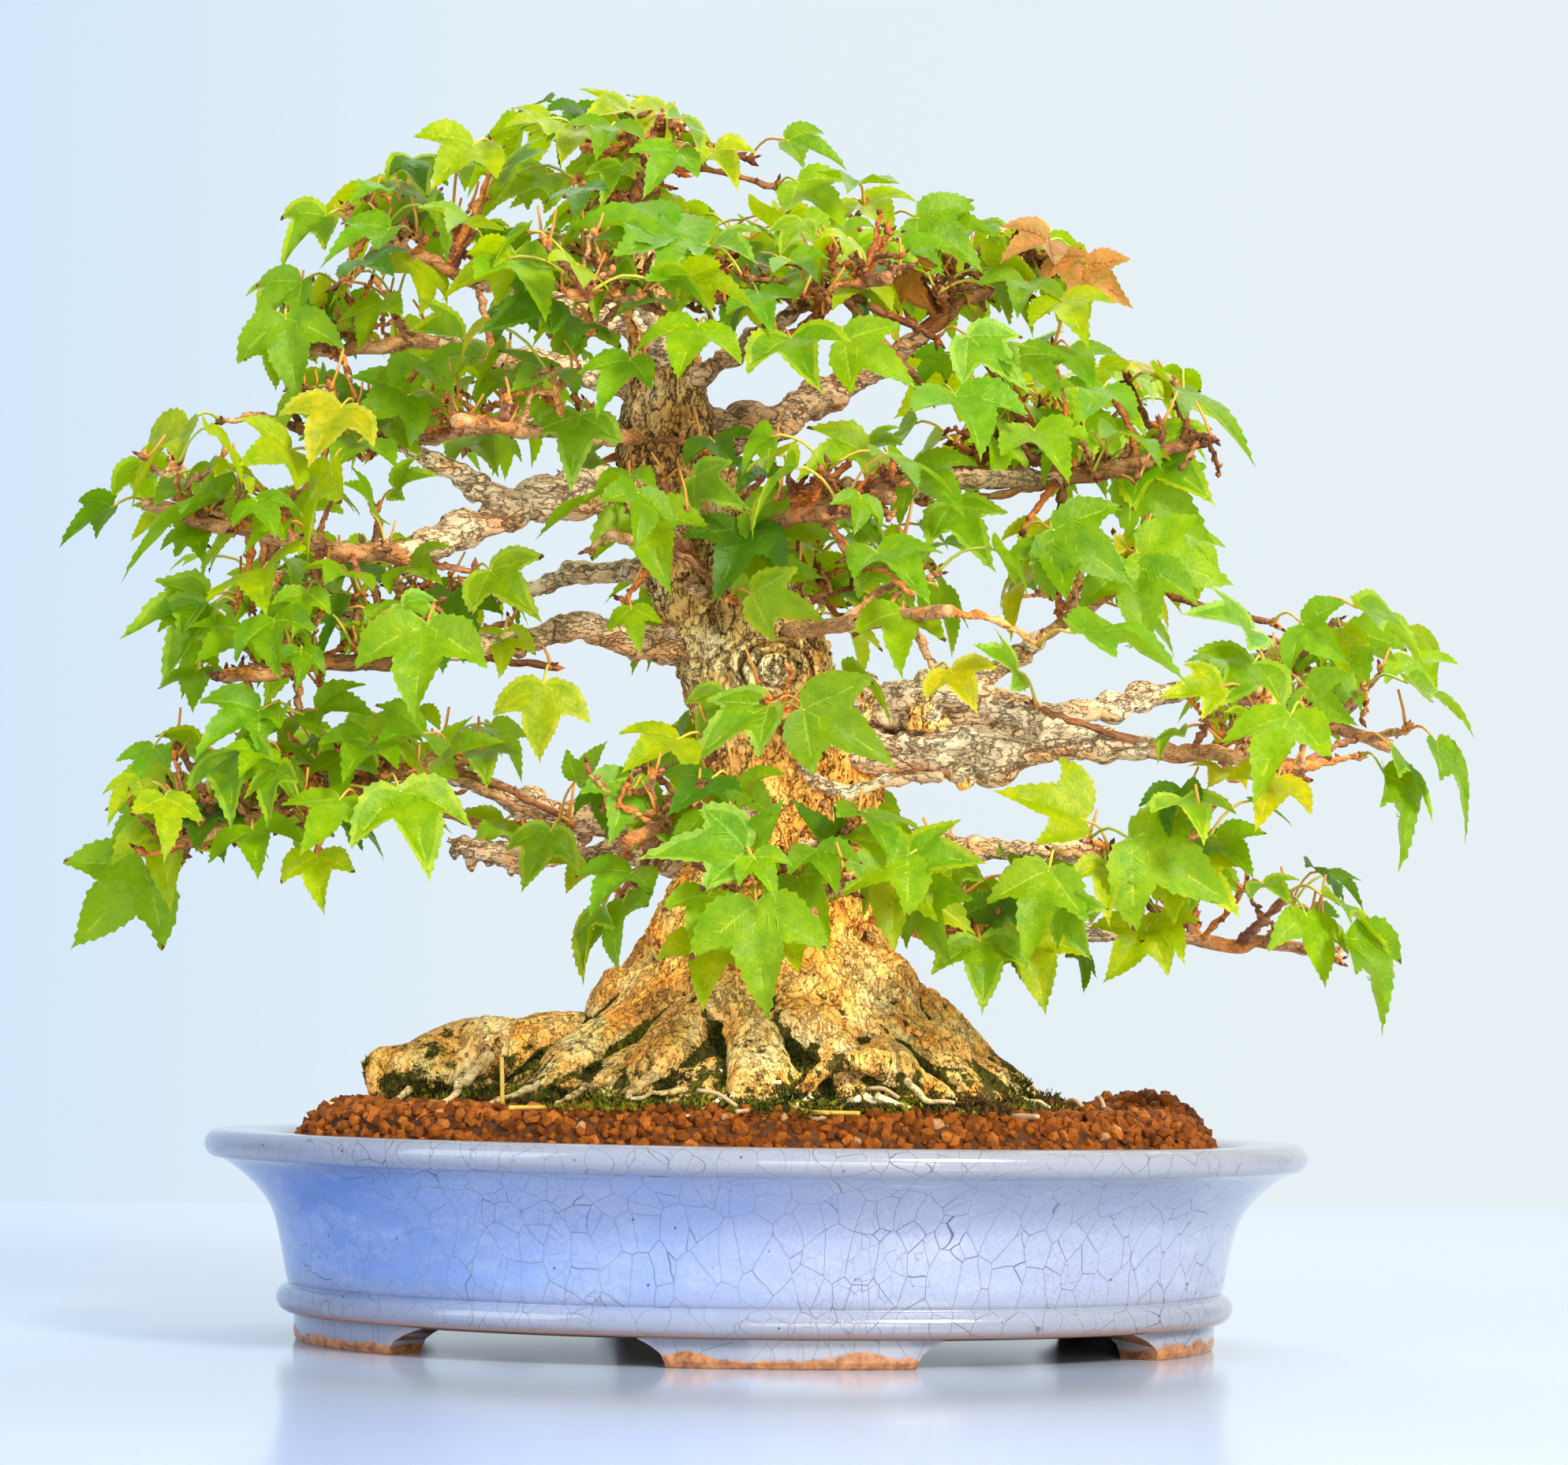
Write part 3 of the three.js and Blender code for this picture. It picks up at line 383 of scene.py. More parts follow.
def as_colour(value):
    """A number is a grey and three are a colour as seen on the screen; four, or a node's output, stay as they are."""
    if isinstance(value, (int, float)):
        return (value, value, value, 1.0)
    return srgb(*value) if isinstance(value, tuple) and len(value) == 3 else value


class Shade:
    """A new material, and short calls for the nodes that make it up."""

    def __init__(self, name, roughness, specular):
        self.material = bpy.data.materials.new(name)
        self.material.use_nodes = True
        self.tree = self.material.node_tree
        self.shader = self.tree.nodes["Principled BSDF"]
        self.where = self.node("TexCoord").outputs["Object"]
        self.set("Roughness", roughness)
        self.set("Specular IOR Level", specular)

    def join(self, value, socket):
        if isinstance(value, bpy.types.NodeSocket):
            self.tree.links.new(value, socket)
        else:
            socket.default_value = value

    def set(self, name, value):
        self.join(value, self.shader.inputs[name])

    def node(self, kind, inputs=None, **settings):
        made = self.tree.nodes.new("ShaderNode" + kind)
        for key, value in settings.items():
            setattr(made, key, value)
        for key, value in (inputs or {}).items():
            self.join(value, made.inputs[key])
        return made

    def axes(self, vector):
        return list(self.node("SeparateXYZ", {"Vector": vector}).outputs)

    def stretched(self, scale, vector=None):
        vector = self.where if vector is None else vector
        return self.node("Mapping", {"Vector": vector, "Scale": scale}).outputs["Vector"]

    def noise(self, scale, detail, roughness, vector=None):
        vector = self.where if vector is None else vector
        inputs = {"Vector": vector, "Scale": scale, "Detail": detail, "Roughness": roughness}
        return self.node("TexNoise", inputs).outputs["Fac"]

    def math(self, operation, *values, **settings):
        return self.node("Math", dict(enumerate(values)), operation=operation, **settings).outputs[0]

    def span(self, value, low, high, first=0, last=1):
        """Runs from first to last while the value runs from low to high, and stays there."""
        inputs = {"Value": value, "From Min": low, "From Max": high, "To Min": first, "To Max": last}
        return self.node("MapRange", inputs).outputs["Result"]

    def ramp(self, factor, *stops):
        made = self.node("ValToRGB", {"Fac": factor})
        band = made.color_ramp.elements
        while len(band) < len(stops):
            band.new(0.5)
        for element, (place, colour) in zip(band, stops):
            element.position = place
            element.color = as_colour(colour)
        return made.outputs["Color"]

    def mix(self, factor, first, second, blend="MIX"):
        inputs = {0: factor, 6: as_colour(first), 7: as_colour(second)}
        return self.node("Mix", inputs, data_type="RGBA", blend_type=blend).outputs[2]

    def times(self, factor, first, second):
        return self.mix(factor, first, second, "MULTIPLY")

    def tinted(self, share, body, colour, strength=1.0):
        """The body multiplied by a linear colour where the share is high."""
        return self.mix(share, body, self.times(strength, body, colour))

    def furrows(self, vector, scale, width, detail):
        """Thin branching cracks where a noise passes its middle: 0 in the crack and 1 beside it."""
        off = self.math("SUBTRACT", self.noise(scale, detail, 0.6, vector), 0.5)
        return self.span(self.math("ABSOLUTE", off), 0, width)

    def finish(self, body, height, strength, distance):
        self.set("Base Color", body)
        relief = self.node("Bump", {"Height": height, "Strength": strength, "Distance": distance})
        self.set("Normal", relief.outputs["Normal"])
        return self.material


def bark_material(name, pale, middle, dark, flake, mossy, worn):
    """Rough bark: pale and dark patches, dark cracks, orange-brown flakes, moss and lichen low down, painted light on
    ridges and painted shade in creases and hollows.
    """
    s = Shade(name, 0.85, 0.25)
    upright = s.stretched((1, 1, 0.5) if mossy else (0.45, 0.8, 1))
    low_stop, high_stop = (0.34, 0.62) if mossy else (0.26, 0.7)
    body = s.ramp(s.noise(42, 5, 0.65), (low_stop, dark), (0.48, middle), (high_stop, pale))
    body = s.mix(s.ramp(s.noise(85, 5, 0.7, upright), (0.53, 0), (0.62, 0.8)), body, flake)
    fine = s.noise(420, 5, 0.75, upright)
    body = s.times(0.75, body, s.ramp(fine, (0.34, 0.45), (0.47, 0.95), (0.6, 1.25)))
    coarse, slight = s.furrows(upright, 105, 0.022, 4), s.furrows(upright, 300, 0.03, 3)
    across, _, height = s.axes(s.where)
    smooth = s.span(height, 0.11, 0.18, 0.1, 0.85) if mossy else 0.6
    body = s.times(smooth, body, s.ramp(coarse, (0, (112, 82, 58) if mossy else (150, 116, 88)), (1, 1)))
    body = s.times(s.math("MULTIPLY", smooth, 0.75), body, s.ramp(slight, (0, (120, 88, 62)), (1, 1)))
    edges = s.node("NewGeometry").outputs["Pointiness"]
    # Painted shade and light: darker in creases and hollows, where pointiness is low, and brighter on ridges, where
    # it is high
    crevice_shade, level, ridge_highlight = (0.25, 1.08, 1.4) if mossy else (0.4, 1, 1.2)
    shade = s.ramp(edges, (0.4, crevice_shade), (0.465, 0.85), (0.5, level), (0.56, ridge_highlight))
    body = s.times(0.9, body, shade)
    # Painted shade: the bark is darker where its skin lies sunk in a hollow, and on the trunk in the grooves of the
    # scar's rings
    sunk = s.node("Attribute", attribute_name="sunk").outputs["Fac"]
    body = s.tinted(sunk, body, (0.42, 0.32, 0.24, 1) if mossy else (0.5, 0.36, 0.24, 1))
    if mossy:
        warm = s.math("MULTIPLY", s.span(height, 0.225, 0.185, 0, 0.92), s.span(height, 0.112, 0.135, 0.35, 1))
        body = s.tinted(warm, body, (1.6, 1.02, 0.36, 1), 0.85)
        body = s.tinted(s.span(height, 0.225, 0.275, 0, 0.85), body, (0.52, 0.42, 0.34, 1))
        grit = s.math("MULTIPLY_ADD", s.noise(260, 4, 0.75), 0.5, -0.25)
        damp = s.math("ADD", s.span(height, 0.08, 0.135, 0.49, 0.04), s.math("ADD", s.noise(62, 5, 0.7), grit))
        damp = s.math("ADD", damp, s.ramp(edges, (0.43, 0.45), (0.505, 0)))
        damp = s.math("ADD", damp, s.math("MULTIPLY", s.span(height, 0.1, 0.145, 0.5, 0), sunk))
        body = s.times(0.75, body, s.ramp(s.noise(480, 2, 0.6), (0.34, (98, 84, 44)), (0.42, 1)))
        lichen = s.ramp(s.noise(75, 6, 0.8), (0.47, 0), (0.6, 0.75))
        lichen = s.math("MULTIPLY", lichen, s.span(height, 0.095, 0.15, 1, 0))
        body = s.tinted(lichen, body, (0.86, 0.84, 0.3, 1))
        moss = s.mix(fine, (34, 32, 8), (116, 108, 26))
        body = s.mix(s.ramp(damp, (0.93, 0), (0.99, 1)), body, moss)
    else:
        left, right = s.span(across, -0.03, -0.07), s.span(across, -0.045, -0.015)
        for side, level, colour in (
                # The high bough on the left is greyer and paler than the rest
                (left, s.span(height, 0.235, 0.26, 0, 0.6), (1.45, 1.6, 1.75, 1)),
                # The limbs on the right are browner in the crown and paler below it
                (right, s.span(height, 0.258, 0.285, 0, 0.6), (0.42, 0.32, 0.24, 1)),
                (right, s.span(height, 0.26, 0.235, 0, 0.8), (1.35, 1.5, 1.75, 1))):
            body = s.tinted(s.math("MULTIPLY", side, level), body, colour)
    return s.finish(body, s.mix(0.5, s.mix(0.5, fine, slight), coarse), worn, 0.003)


def leaf_material(name, colour, glow, sheen=0.38):
    """A leaf's plain colour with a faint mottle, a soft sheen and light coming through."""
    s = Shade(name, sheen, 0.32)
    r, g, b, _ = srgb(*colour)
    darker, lighter = (r * 0.62, g * 0.78, b * 0.7, 1), (min(1, r * 1.3), min(1, g * 1.08), b, 1)
    body = s.ramp(s.noise(150, 5, 0.75), (0.38, darker), (0.62, lighter))
    body = s.times(1, body, s.ramp(s.noise(1500, 2, 0.6), (0.3, 0.86), (0.7, 1.08)))
    s.finish(body, s.noise(420, 4, 0.65), 0.6, 0.0009)
    through = s.node("BsdfTranslucent", {"Color": srgb(*glow)})
    both = s.node("MixShader", {0: 0.4, 1: s.shader.outputs["BSDF"], 2: through.outputs["BSDF"]})
    s.join(both.outputs["Shader"], s.tree.nodes["Material Output"].inputs["Surface"])
    return s.material


def mottled_material(name, first, second, scale, roughness=0.8, relief=0.3, depth=0.0005, specular=0.3):
    s = Shade(name, roughness, specular)
    body = s.ramp(s.noise(scale, 4, 0.6), (0.35, first), (0.65, second))
    return s.finish(body, s.noise(scale * 4, 3, 0.6), relief, depth)


def glaze_material(name, with_clay):
    """Pale blue-lavender glaze, bluer to the left, with fine dark crackle and small dark specks."""
    s = Shade(name, 0.14, 0.45)
    across, _, height = s.axes(s.where)
    cloud = s.noise(14, 3, 0.6)
    drift = s.math("MULTIPLY", s.math("SUBTRACT", cloud, 0.5), 0.5)
    body = s.ramp(s.math("ADD", s.span(across, -0.19, 0.17), drift), (0.05, (84, 128, 204)),
                  (0.28, (142, 166, 220)), (0.53, (168, 177, 208)), (0.9, (160, 168, 194)))
    pale = s.ramp(s.noise(60, 4, 0.65, s.stretched((1, 1, 2.2))), (0.5, 0), (0.75, 0.3))
    body = s.mix(pale, body, (200, 208, 232))
    warp = s.node("TexNoise", {"Vector": s.where, "Scale": 55, "Detail": 2}).outputs["Color"]
    upright = s.stretched((1.15, 1.15, 0.6), s.mix(0.0035, s.where, warp, "ADD"))
    lines = []
    for scale, width in ((105, 0.0065), (225, 0.009)):
        edge = s.node("TexVoronoi", {"Vector": upright, "Scale": scale}, feature="DISTANCE_TO_EDGE")
        lines.append(s.ramp(edge.outputs["Distance"], (0, 1), (width, 0.8), (width * 2, 0)))
    patch = s.ramp(s.noise(30, 2, 0.5), (0.42, 0.05), (0.62, 0.7))
    crackle = s.math("MAXIMUM", lines[0], s.math("MULTIPLY", lines[1], patch))
    crackle = s.math("MULTIPLY", crackle, s.ramp(s.noise(22, 2, 0.5), (0.32, 0.3), (0.62, 0.95)))
    body = s.times(1, body, s.ramp(s.noise(900, 3, 0.7), (0.3, 0.9), (0.7, 1.1)))
    body = s.mix(s.span(height, 0.056, 0.062, 0, 0.75), body, (148, 150, 156))
    body = s.mix(s.span(height, 0.026, 0.014, 0, 0.75), body, (138, 142, 150))
    body = s.mix(crackle, body, (72, 70, 82))
    dots = s.node("TexVoronoi", {"Vector": s.where, "Scale": 105}).outputs["Distance"]
    body = s.mix(s.ramp(dots, (0.035, 0.85), (0.06, 0)), body, (58, 50, 52))
    # The glaze breaks to a translucent tan on the rim's edge and on the bead
    geometry = s.node("NewGeometry").outputs
    body = s.mix(s.ramp(geometry["Pointiness"], (0.52, 0), (0.6, 0.55)), body, (178, 168, 160))
    if not with_clay:
        thin = s.math("MULTIPLY", s.span(height, 0.0095, 0.0125, 1.7, 0), cloud, use_clamp=True)
        body = s.mix(thin, body, (168, 110, 62))
    down = s.math("LESS_THAN", s.axes(geometry["True Normal"])[2], -0.85)
    body = s.mix(s.math("MULTIPLY", down, s.math("LESS_THAN", height, 0.02)), body, (128, 78, 46))
    if with_clay:
        level = s.math("MULTIPLY", s.noise(70, 3, 0.6), 0.0095)
        bare = s.ramp(s.span(s.math("SUBTRACT", height, level), -0.0022, 0.0008), (0.3, 1), (0.7, 0))
        clay = s.ramp(s.noise(240, 4, 0.7), (0.35, (124, 72, 38)), (0.62, (196, 134, 80)))
        body = s.mix(bare, body, clay)
        s.set("Roughness", s.span(bare, 0, 1, 0.14, 0.7))
    s.set("Coat Weight", 0.5)
    s.set("Coat Roughness", 0.05)
    return s.finish(body, s.mix(0.5, s.noise(40, 2, 0.5), crackle), 0.12, 0.0006)


# ---- The pot ----
POT_HALF_LENGTH, POT_HALF_WIDTH = 185.8, 142.8
LIP_RADIUS, LIP_HEIGHT, LIP_FLAT = 4.6, 64.4, 20.0
BEAD_RADIUS, BEAD_HALF_LENGTH, BEAD_HEIGHT = 4.6, 160.9, 13.9
WALL, FLOOR_TOP = 8.5, 16.0
FOOT_HEIGHT, FOOT_DEPTH, FOOT_FLARE, FOOT_INSET = 8.8, 17.0, 9.0, 1.5
FOOT_HALVES = {"front": (39, 0.2), "end": (66, 0.65)}
DRAIN_RADIUS, DRAIN_SPACING = 11.0, 82.0
NARROWING = POT_HALF_LENGTH - POT_HALF_WIDTH
BEAD_MIDDLE = BEAD_HALF_LENGTH - BEAD_RADIUS
INSIDE = BEAD_MIDDLE - WALL
INNER_SHARE = 0.7
POT_SIDES = 288


def width_at(radius):
    """The half width of the pot's oval whose half length is radius."""
    return np.maximum(radius - NARROWING, radius * INNER_SHARE)


def arc(centre, radius, start, end, count):
    angles = np.linspace(math.radians(start), math.radians(end), count)
    return [(centre[0] + radius * math.cos(a), centre[1] + radius * math.sin(a)) for a in angles]


def pot_profile():
    bead_x = BEAD_MIDDLE
    lip_x = POT_HALF_LENGTH - LIP_RADIUS
    inner = POT_HALF_LENGTH - LIP_FLAT
    outline = [(0.0, FOOT_HEIGHT), (60.0, FOOT_HEIGHT), (120.0, FOOT_HEIGHT), (bead_x - 3, FOOT_HEIGHT)]
    outline += arc((bead_x, BEAD_HEIGHT), BEAD_RADIUS, -88, 84, 12)
    wall = spline([(bead_x + 0.7, 0, 18.7), (bead_x + 1.3, 0, 20.4), (bead_x + 3.4, 0, 31), (bead_x + 7, 0, 43.5),
                   (bead_x + 13, 0, 51.5), (lip_x - 3.6, 0, 58.2), (lip_x, 0, 60.0)], 34)
    outline += [(x, z) for x, _, z in wall]
    outline += arc((lip_x, LIP_HEIGHT), LIP_RADIUS, -70, 90, 12)
    outline += [(lip_x - 5, 69.0), (inner + 5, 68.9), (inner + 1.5, 68.6), (inner - 1.5, 67.9), (inner - 4, 66.6)]
    inside = spline([(inner - 5, 0, 65.5), (INSIDE + 8, 0, 58), (INSIDE + 1, 0, 24),
                     (INSIDE - 5, 0, FLOOR_TOP + 0.4)], 12)
    outline += [(x, z) for x, _, z in inside]
    outline += [(100.0, FLOOR_TOP), (0.0, FLOOR_TOP)]
    return outline


def oval_lathe(profile):
    points, rows = [], []
    for radius, height in profile:
        if radius < 0.01:
            rows.append([len(points)])
            points.append((0, 0, height))
            continue
        first = len(points)
        for step in range(POT_SIDES):
            angle = step * 2 * math.pi / POT_SIDES
            points.append((radius * math.cos(angle), width_at(radius) * math.sin(angle), height))
        rows.append(list(range(first, first + POT_SIDES)))
    faces = []
    for low, high in zip(rows, rows[1:]):
        for step in range(POT_SIDES):
            after = (step + 1) % POT_SIDES
            if len(low) == 1:
                faces.append((low[0], high[after], high[step]))
            elif len(high) == 1:
                faces.append((low[step], low[after], high[0]))
            else:
                faces += quad(low[step], low[after], high[after], high[step])
    return np.array(points), np.array(faces)


def foot_block(half, splay, end, mirror):
    """One foot: a bent bar under the wall whose ends flare outwards to the top and splay with the oval."""
    outer = BEAD_MIDDLE - FOOT_INSET
    inner = outer - FOOT_DEPTH
    levels = np.array([0.0, 0.06, 0.25, 0.5, 0.75, 0.9, 1.0, 1.35])
    across = np.linspace(-1, 1, 49)

    def surface(radius, s, level, depth):
        half_at = half + 2 * min(level, 0.7) / 0.7 + (FOOT_FLARE - 2) * max(0, min(1, (level - 0.35) / 0.65)) ** 2
        place = s * half_at * (1 - splay * depth / half)
        if end:
            return radius * math.sqrt(max(0.0, 1 - (place / width_at(radius)) ** 2)), place
        return place, -width_at(radius) * math.sqrt(max(0.0, 1 - (place / radius) ** 2))

    points = []
    for layer, radius in enumerate((outer, inner)):
        for level in levels:
            tuck = 1.3 * max(0.0, 1 - level / 0.12) if layer == 0 else 0.0
            for s in across:
                edge = max(0.0, abs(s) - 0.96) * 20 * 0.6
                x, y = surface(radius - tuck - (edge if layer == 0 else -edge * 0.5), s, level, layer * FOOT_DEPTH)
                if mirror:
                    x, y = -x, -y
                points.append((x, y, level * FOOT_HEIGHT))
    rows, cols = len(levels), len(across)
    shift = rows * cols
    faces = []
    for r in range(rows - 1):
        for c in range(cols - 1):
            a, b = r * cols + c, r * cols + c + 1
            d, e = a + cols, b + cols
            faces += quad(a, b, e, d) + quad(shift + b, shift + a, shift + d, shift + e)
    for c in range(cols - 1):
        bottom, top = c, (rows - 1) * cols + c
        faces += quad(bottom + 1, bottom, shift + bottom, shift + bottom + 1)
        faces += quad(top, top + 1, shift + top + 1, shift + top)
    for r in range(rows - 1):
        a, b = r * cols, (r + 1) * cols
        faces += quad(a, b, shift + b, shift + a)
        a, b = r * cols + cols - 1, (r + 1) * cols + cols - 1
        faces += quad(b, a, shift + a, shift + b)
    faces = np.array(faces)
    return np.array(points), faces if end else faces[:, ::-1] if mirror else faces


def make_pot():
    body = Pile()
    body.add(*oval_lathe(pot_profile()))
    pot = body.build("pot_body", [glaze_material("glaze", False)])
    feet = Pile()
    for kind, (half, splay) in FOOT_HALVES.items():
        for mirror in (False, True):
            feet.add(*foot_block(half, splay, kind == "end", mirror))
    stand = feet.build("pot_feet", [glaze_material("foot_glaze", True)], smooth=False)
    for piece in (pot, stand):
        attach(piece, "root")
        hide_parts("pot")
    # Dark discs under the drain holes: painted shadow in the holes
    drains = Pile()
    for side in (-1, 1):
        rim = [(side * DRAIN_SPACING, 0, height) for height in (FOOT_HEIGHT - 0.05, FOOT_HEIGHT + 1)]
        drains.add(*tube(rim, [DRAIN_RADIUS, DRAIN_RADIUS], 32))
    drain_shadow_discs = drains.build("pot_drain_shadows", [mottled_material("drain_shadow", (40, 24, 16), (66, 40, 26), 300)])
    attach(drain_shadow_discs, "root")


make_pot()


# ---- The soil ----
HEAP_X, HEAP_Y, HEAP_HEIGHT, HEAP_SPREAD = 137, 12, 6.5, 32
SOIL_REACH_X, SOIL_REACH_Y, TRUNK_CLEAR = 166, 124, 40
SOIL_SHOULDER, SOIL_EDGE_TOP = 140, 64.5


def soil_height(x, y):
    """Height of the soil's top at points, from the rim's inside up to the mound."""
    low, high = np.zeros_like(x), np.full_like(x, 175.0)
    for _ in range(22):
        radius = (low + high) / 2
        inside = (x / radius) ** 2 + (y / width_at(radius)) ** 2 < 1
        high = np.where(inside, radius, high)
        low = np.where(inside, low, radius)
    height = np.interp(radius, [0, SOIL_SHOULDER, SOIL_SHOULDER + 8, INSIDE + 9],
                       [SOIL_TOP, SOIL_TOP, SOIL_TOP - 3, SOIL_EDGE_TOP])
    away = np.minimum(1, np.hypot(x - HEAP_X, y - HEAP_Y) / HEAP_SPREAD)
    return height + HEAP_HEIGHT * (1 - away ** 2) ** 2, radius


GRAIN_KINDS = [
    ("grain_red", (136, 72, 14), (160, 88, 24), 0.51), ("grain_dark", (104, 52, 10), (132, 68, 16), 0.38),
    ("grain_orange", (166, 92, 28), (186, 110, 42), 0.1), ("grain_pale", (176, 126, 82), (196, 150, 104), 0.01)]
GRAIN_SPACING, ROW_SHARE = 3.1, 0.87
GRAIN_SQUASH, GRAIN_ROUGHNESS = 0.32, 0.26
GOLDEN = (1 + 5 ** 0.5) / 2
ICO_POINTS = np.array([
    (-1, GOLDEN, 0), (1, GOLDEN, 0), (-1, -GOLDEN, 0), (1, -GOLDEN, 0), (0, -1, GOLDEN), (0, 1, GOLDEN),
    (0, -1, -GOLDEN), (0, 1, -GOLDEN), (GOLDEN, 0, -1), (GOLDEN, 0, 1), (-GOLDEN, 0, -1), (-GOLDEN, 0, 1)],
    float) / math.hypot(1, GOLDEN)
ICO_FACES = np.array([(0, 11, 5), (0, 5, 1), (0, 1, 7), (0, 7, 10), (0, 10, 11), (1, 5, 9), (5, 11, 4), (11, 10, 2),
                      (10, 7, 6), (7, 1, 8), (3, 9, 4), (3, 4, 2), (3, 2, 6), (3, 6, 8), (3, 8, 9), (4, 9, 5),
                      (2, 4, 11), (6, 2, 10), (8, 6, 7), (9, 8, 1)])


def pebbles(points, sizes, rng):
    """The corners of small angular pebbles at points."""
    count = len(points)
    shape = ICO_POINTS[None] * (1 + rng.uniform(-GRAIN_ROUGHNESS, GRAIN_ROUGHNESS, (count, len(ICO_POINTS), 1)))
    stretch = 1 + rng.uniform(-GRAIN_SQUASH, GRAIN_SQUASH, (count, 1, 3))
    angles = rng.uniform(0, 2 * math.pi, (count, 3))
    shape = shape * stretch
    for axis in range(3):
        a, b = (axis + 1) % 3, (axis + 2) % 3
        c, s = np.cos(angles[:, axis])[:, None], np.sin(angles[:, axis])[:, None]
        first, second = shape[..., a].copy(), shape[..., b].copy()
        shape[..., a], shape[..., b] = first * c - second * s, first * s + second * c
    return shape * np.asarray(sizes)[:, None, None] + points[:, None, :]


def make_soil():
    rng = np.random.default_rng(41)
    xs = np.arange(-SOIL_REACH_X, SOIL_REACH_X + 1, GRAIN_SPACING)
    ys = np.arange(-SOIL_REACH_Y, SOIL_REACH_Y + 1, GRAIN_SPACING * ROW_SHARE)
    x, y = np.meshgrid(xs, ys)
    x = x + (np.arange(len(ys)) % 2)[:, None] * GRAIN_SPACING / 2
    x = (x + rng.uniform(-0.9, 0.9, x.shape)).ravel()
    y = (y + rng.uniform(-0.9, 0.9, y.shape)).ravel()
    z, radius = soil_height(x, y)
    keep = (radius < INSIDE + 7) & (np.hypot(x, y) > TRUNK_CLEAR)
    x, y, z = x[keep], y[keep], z[keep]
    size = rng.uniform(1.4, 2.5, len(x)) * np.where(rng.random(len(x)) < 0.12, 1.2, 1)
    lift = rng.uniform(-1.4, 0.4, len(x))
    points = np.stack([x, y, z + lift], 1)
    loose = rng.random(len(x)) < 0.12
    points[loose, 2] += rng.uniform(0.8, 1.6, loose.sum())
    corners = pebbles(points, size, rng)
    kinds = rng.choice(len(GRAIN_KINDS), len(x), p=[kind[3] for kind in GRAIN_KINDS])
    materials = [mottled_material(*kind[:3], 420, 0.5, 0.9, 0.0006, 0.14) for kind in GRAIN_KINDS]
    for part, chosen in enumerate((slice(len(x) // 2), slice(len(x) // 2, None)), 1):
        pile = Pile()
        starts = np.arange(len(x[chosen]))[:, None, None] * len(ICO_POINTS)
        pile.add(corners[chosen].reshape(-1, 3), (ICO_FACES + starts).reshape(-1, 3),
                 np.repeat(kinds[chosen], len(ICO_FACES)))
        grains = pile.build(f"soil_grains_{part}", materials, smooth=False)
        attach(grains, "root")
    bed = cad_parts["soil"].data.materials
    bed.clear()
    bed.append(mottled_material("soil_bed", (62, 36, 16), (100, 58, 26), 220, 0.95, 0.8, 0.001))


make_soil()


# ---- Trunk, roots and boughs ----
BARK_VOXEL, BOUGH_VOXEL = 1.28, 1.05
COLUMN_SIDES, COLUMN_RINGS = 56, 110
ROOT_RINGS, BRANCH_RINGS, WEB_RINGS, SKIRT_RINGS, SKIRT_SIDES, BOUGH_RINGS = 34, 20, 26, 30, 72, 44
SWELLINGS = 5

# Knobs on the trunk and the larger boughs: place and half sizes, in the tree's frame
KNOBS = [
    ((3, -20, 224), (15, 9, 15)), ((-14, -16, 262), (14, 9, 13)), ((22, -14, 196), (12, 10, 12)),
    ((-14, -14, 206), (9, 8, 14)), ((-38, -12, 288), (11, 8, 12)), ((24, -18, 150), (14, 12, 14)),
    ((-24, -20, 132), (14, 10, 17)), ((38, -22, 118), (15, 14, 14)), ((-46, -12, 110), (13, 12, 15)),
    ((8, 18, 232), (13, 10, 16)), ((-22, 14, 278), (12, 9, 14)), ((14, 22, 176), (14, 10, 15)),
    ((-10, -44, 112), (13, 14, 13)), ((14, -46, 104), (14, 14, 12)), ((56, -30, 96), (14, 12, 12)),
    ((-60, -24, 90), (14, 12, 11)), ((-28, -50, 96), (12, 12, 12)), ((40, -52, 92), (12, 12, 10)),
    ((-36, 42, 104), (16, 14, 13)), ((20, 46, 108), (16, 14, 13)), ((60, 26, 98), (16, 14, 12))]

# Webs between neighbouring roots: reach as a share of theirs, how far below their crests, and when two are needed
WEB_REACH, WEB_LIMIT, WEB_DROP, WIDE_GAP, WEB_START = 0.86, 98, 4.5, 34, 24
# Half width of the root mass at heights
SKIRT = [(70, 80), (80, 77), (90, 72), (100, 66), (112, 57.5), (128, 45), (146, 34)]
SKIRT_DEPTH = 0.88

# Stubs where branches were cut: place, direction, radius and length
STUBS = [
    ((19, -28, 281), (0.75, -0.55, 0.35), 4.6, 12), ((-33, -22, 283), (-0.3, -0.8, 0.4), 3.0, 9),
    ((30, -26, 212), (0.3, -0.5, 0.8), 4.2, 13), ((54, -30, 212), (0.1, -0.3, 1), 5.0, 12),
    ((64, -30, 192), (0.2, -0.8, -0.4), 3.6, 8), ((-7, -25, 172), (-0.5, -0.8, 0.3), 3.4, 8),
    ((-22, -20, 250), (-0.6, -0.6, 0.5), 3.0, 8), ((34, -16, 168), (0.8, -0.5, 0.3), 3.2, 8),
    ((18, 22, 222), (0.4, 0.9, 0.3), 4.0, 9), ((-20, 20, 258), (-0.3, 0.9, 0.4), 3.6, 9),
    ((-44, -8, 342), (-0.4, -0.7, 0.6), 2.2, 8), ((92, -38, 201), (0.1, -0.4, 1), 3.0, 9)]

